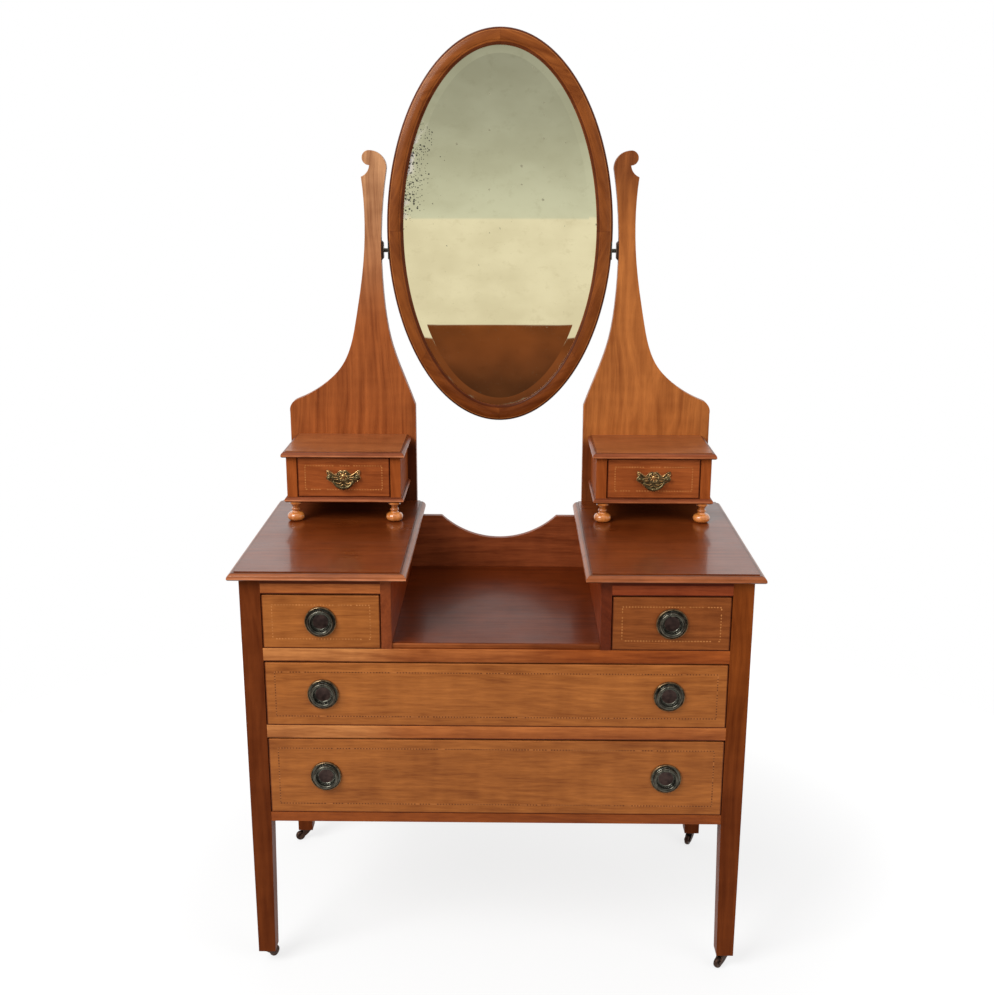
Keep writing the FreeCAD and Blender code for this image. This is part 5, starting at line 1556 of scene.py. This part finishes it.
class DRESSING_TABLE_OT_stage(bpy.types.Operator):
    """Sets the pale floor, the soft lights, the camera and surroundings that are white to it"""

    bl_idname = "dressing_table.stage"
    bl_label = "Stage"
    bl_options = {"REGISTER", "UNDO"}

    def execute(self, context):
        self.floor()
        self.surroundings()
        self.lamp("key_light", (-2.4, -2.3, 3.3), 136.0)
        self.lamp("fill_light", (2.6, -2.2, 1.6), 34.0, mirrored=False)
        self.camera()
        bpy.context.scene.view_settings.view_transform = "Standard"
        return {"FINISHED"}

    def floor(self):
        mesh = bpy.data.meshes.new("floor")
        rim = []
        for turn in turns(FLOOR_STEPS):
            rim.append((FLOOR_REACH * math.cos(turn), FLOOR_REACH * math.sin(turn), 0.0))
        mesh.from_pydata(rim, [], [tuple(range(FLOOR_STEPS))])
        made = bpy.data.objects.new("floor", mesh)
        bpy.context.scene.collection.objects.link(made)
        paper = bpy.data.materials.new("white_paper")
        paper.use_nodes = True
        tree = paper.node_tree
        tree.nodes.clear()
        start = Wire(tree)
        lit = start.node("ShaderNodeBsdfDiffuse", {}, {"Color": (0.25, 0.25, 0.25, 1.0)})
        x, y = start.node("ShaderNodeTexCoord", output="Object").parts()[:2]
        away = ((x * x + y * y) ** 0.5).smooth(0.5, 1.4)
        paleness = away.mix((0.76, 0.76, 0.76), WHITE)
        glow = start.node("ShaderNodeEmission", {}, {"Color": paleness, "Strength": 1.0})
        both = start.node("ShaderNodeAddShader", {}, {0: lit, 1: glow})
        mixed = start.node("ShaderNodeMixShader", {}, {0: self.seen(start), 1: lit, 2: both})
        self.out(tree, "ShaderNodeOutputMaterial", mixed)
        mesh.materials.append(paper)

    @staticmethod
    def out(tree, kind, shader):
        """Ends a tree with its output node."""
        made = tree.nodes.new(kind)
        tree.links.new(shader.socket, made.inputs["Surface"])

    @staticmethod
    def seen(start):
        """1 for rays from the camera, from gloss and through glass."""
        kinds = ("Is Camera Ray", "Is Glossy Ray", "Is Transmission Ray")
        camera, gloss, glass = (start.node("ShaderNodeLightPath", output=kind) for kind in kinds)
        return camera.most(gloss).most(glass)

    def surroundings(self):
        world = bpy.data.worlds.new("studio")
        bpy.context.scene.world = world
        world.use_nodes = True
        tree = world.node_tree
        tree.nodes.clear()
        start = Wire(tree)
        way = start.node("ShaderNodeTexCoord", output="Generated")
        y, z = way.parts()[1:]
        in_front = (0 - y).smooth(0.05, 0.45)
        height = z * 0.5 + 0.5
        middle = start.node("ShaderNodeValToRGB", {"stops": MIDDLE_TONES}, {0: z + 0.5})
        upper = start.node("ShaderNodeValToRGB", {"stops": UPPER_TONES}, {0: height})
        lower = start.node("ShaderNodeValToRGB", {"stops": LOWER_TONES}, {0: height})
        worn = way.noise((20.0, 3.0, 26.0), 2.0).smooth(0.3, 0.68)
        lower = worn.mix(tinted(lower, 0.62, 0.64, 0.7), tinted(lower, 1.06, 1.06, 1.06))
        tones = z.smooth(*MIDDLE_START).mix(lower, z.smooth(*UPPER_START).mix(middle, upper))
        tones = in_front.mix(WHITE, tones)
        shown = start.node("ShaderNodeLightPath", output="Is Camera Ray").mix(tones, WHITE)
        glow = start.node("ShaderNodeBackground", {}, {"Color": shown, "Strength": 1.0})
        air = start.node("ShaderNodeBackground", {}, {"Color": (*WHITE, 1.0), "Strength": DAYLIGHT})
        mixed = start.node("ShaderNodeMixShader", {}, {0: self.seen(start), 1: air, 2: glow})
        self.out(tree, "ShaderNodeOutputWorld", mixed)

    @staticmethod
    def lamp(name, spot, power, mirrored=True):
        """A square soft lamp aimed at the table. One that isn't mirrored doesn't show in gloss or glass."""
        light = bpy.data.lights.new(name, "AREA")
        light.size = LAMP_WIDTH
        light.energy = power
        made = bpy.data.objects.new(name, light)
        bpy.context.scene.collection.objects.link(made)
        made.location = spot
        aim = LAMP_AIM - Vector(spot)
        made.rotation_euler = aim.to_track_quat("-Z", "Y").to_euler()
        made.visible_glossy = mirrored

    @staticmethod
    def camera():
        yaw, pitch, roll = (math.radians(angle) for angle in CAMERA_TURNS)
        forward = Vector((math.sin(yaw) * math.cos(pitch), math.cos(yaw) * math.cos(pitch), -math.sin(pitch)))
        level = Vector((math.cos(yaw), -math.sin(yaw), 0.0))
        steep = forward.cross(level)
        right = math.cos(roll) * level + math.sin(roll) * steep
        down = math.cos(roll) * steep - math.sin(roll) * level
        lens = bpy.data.cameras.new("camera")
        lens.sensor_fit = "HORIZONTAL"
        lens.sensor_width = CAMERA_SENSOR
        lens.lens = CAMERA_LENS
        made = bpy.data.objects.new("camera", lens)
        bpy.context.scene.collection.objects.link(made)
        turn = Matrix((right, -down, -forward)).transposed().to_4x4()
        made.matrix_world = Matrix.Translation(CAMERA_SPOT) @ turn
        bpy.context.scene.camera = made


MAKERS = (
    DRESSING_TABLE_OT_carcase,
    DRESSING_TABLE_OT_tops,
    DRESSING_TABLE_OT_drawers,
    DRESSING_TABLE_OT_stringing,
    DRESSING_TABLE_OT_ring_pulls,
    DRESSING_TABLE_OT_drop_handles,
    DRESSING_TABLE_OT_trinket_boxes,
    DRESSING_TABLE_OT_standards,
    DRESSING_TABLE_OT_mirror,
    DRESSING_TABLE_OT_casters,
    DRESSING_TABLE_OT_fixings,
    DRESSING_TABLE_OT_stage,
)


class DRESSING_TABLE_PT_makers(bpy.types.Panel):
    """Lists the table's pieces, sizes and colours"""

    bl_idname = "DRESSING_TABLE_PT_makers"
    bl_label = "Dressing Table"
    bl_space_type = "VIEW_3D"
    bl_region_type = "UI"
    bl_category = "Dressing Table"

    def draw(self, context):
        for maker in MAKERS:
            self.layout.operator(maker.bl_idname)
        for group in (context.scene.table_sizes, context.scene.table_colours):
            column = self.layout.column()
            for name in group.__annotations__:
                column.prop(group, name)


CLASSES = (TableSizes, TableColours) + MAKERS + (DRESSING_TABLE_PT_makers,)


def register():
    for made in CLASSES:
        bpy.utils.register_class(made)
    bpy.types.Scene.table_sizes = bpy.props.PointerProperty(type=TableSizes)
    bpy.types.Scene.table_colours = bpy.props.PointerProperty(type=TableColours)


def unregister():
    del bpy.types.Scene.table_colours
    del bpy.types.Scene.table_sizes
    for made in reversed(CLASSES):
        bpy.utils.unregister_class(made)


def main():
    register()
    for maker in MAKERS:
        group, name = maker.bl_idname.split(".")
        getattr(getattr(bpy.ops, group), name)()


if __name__ == "__main__":
    main()
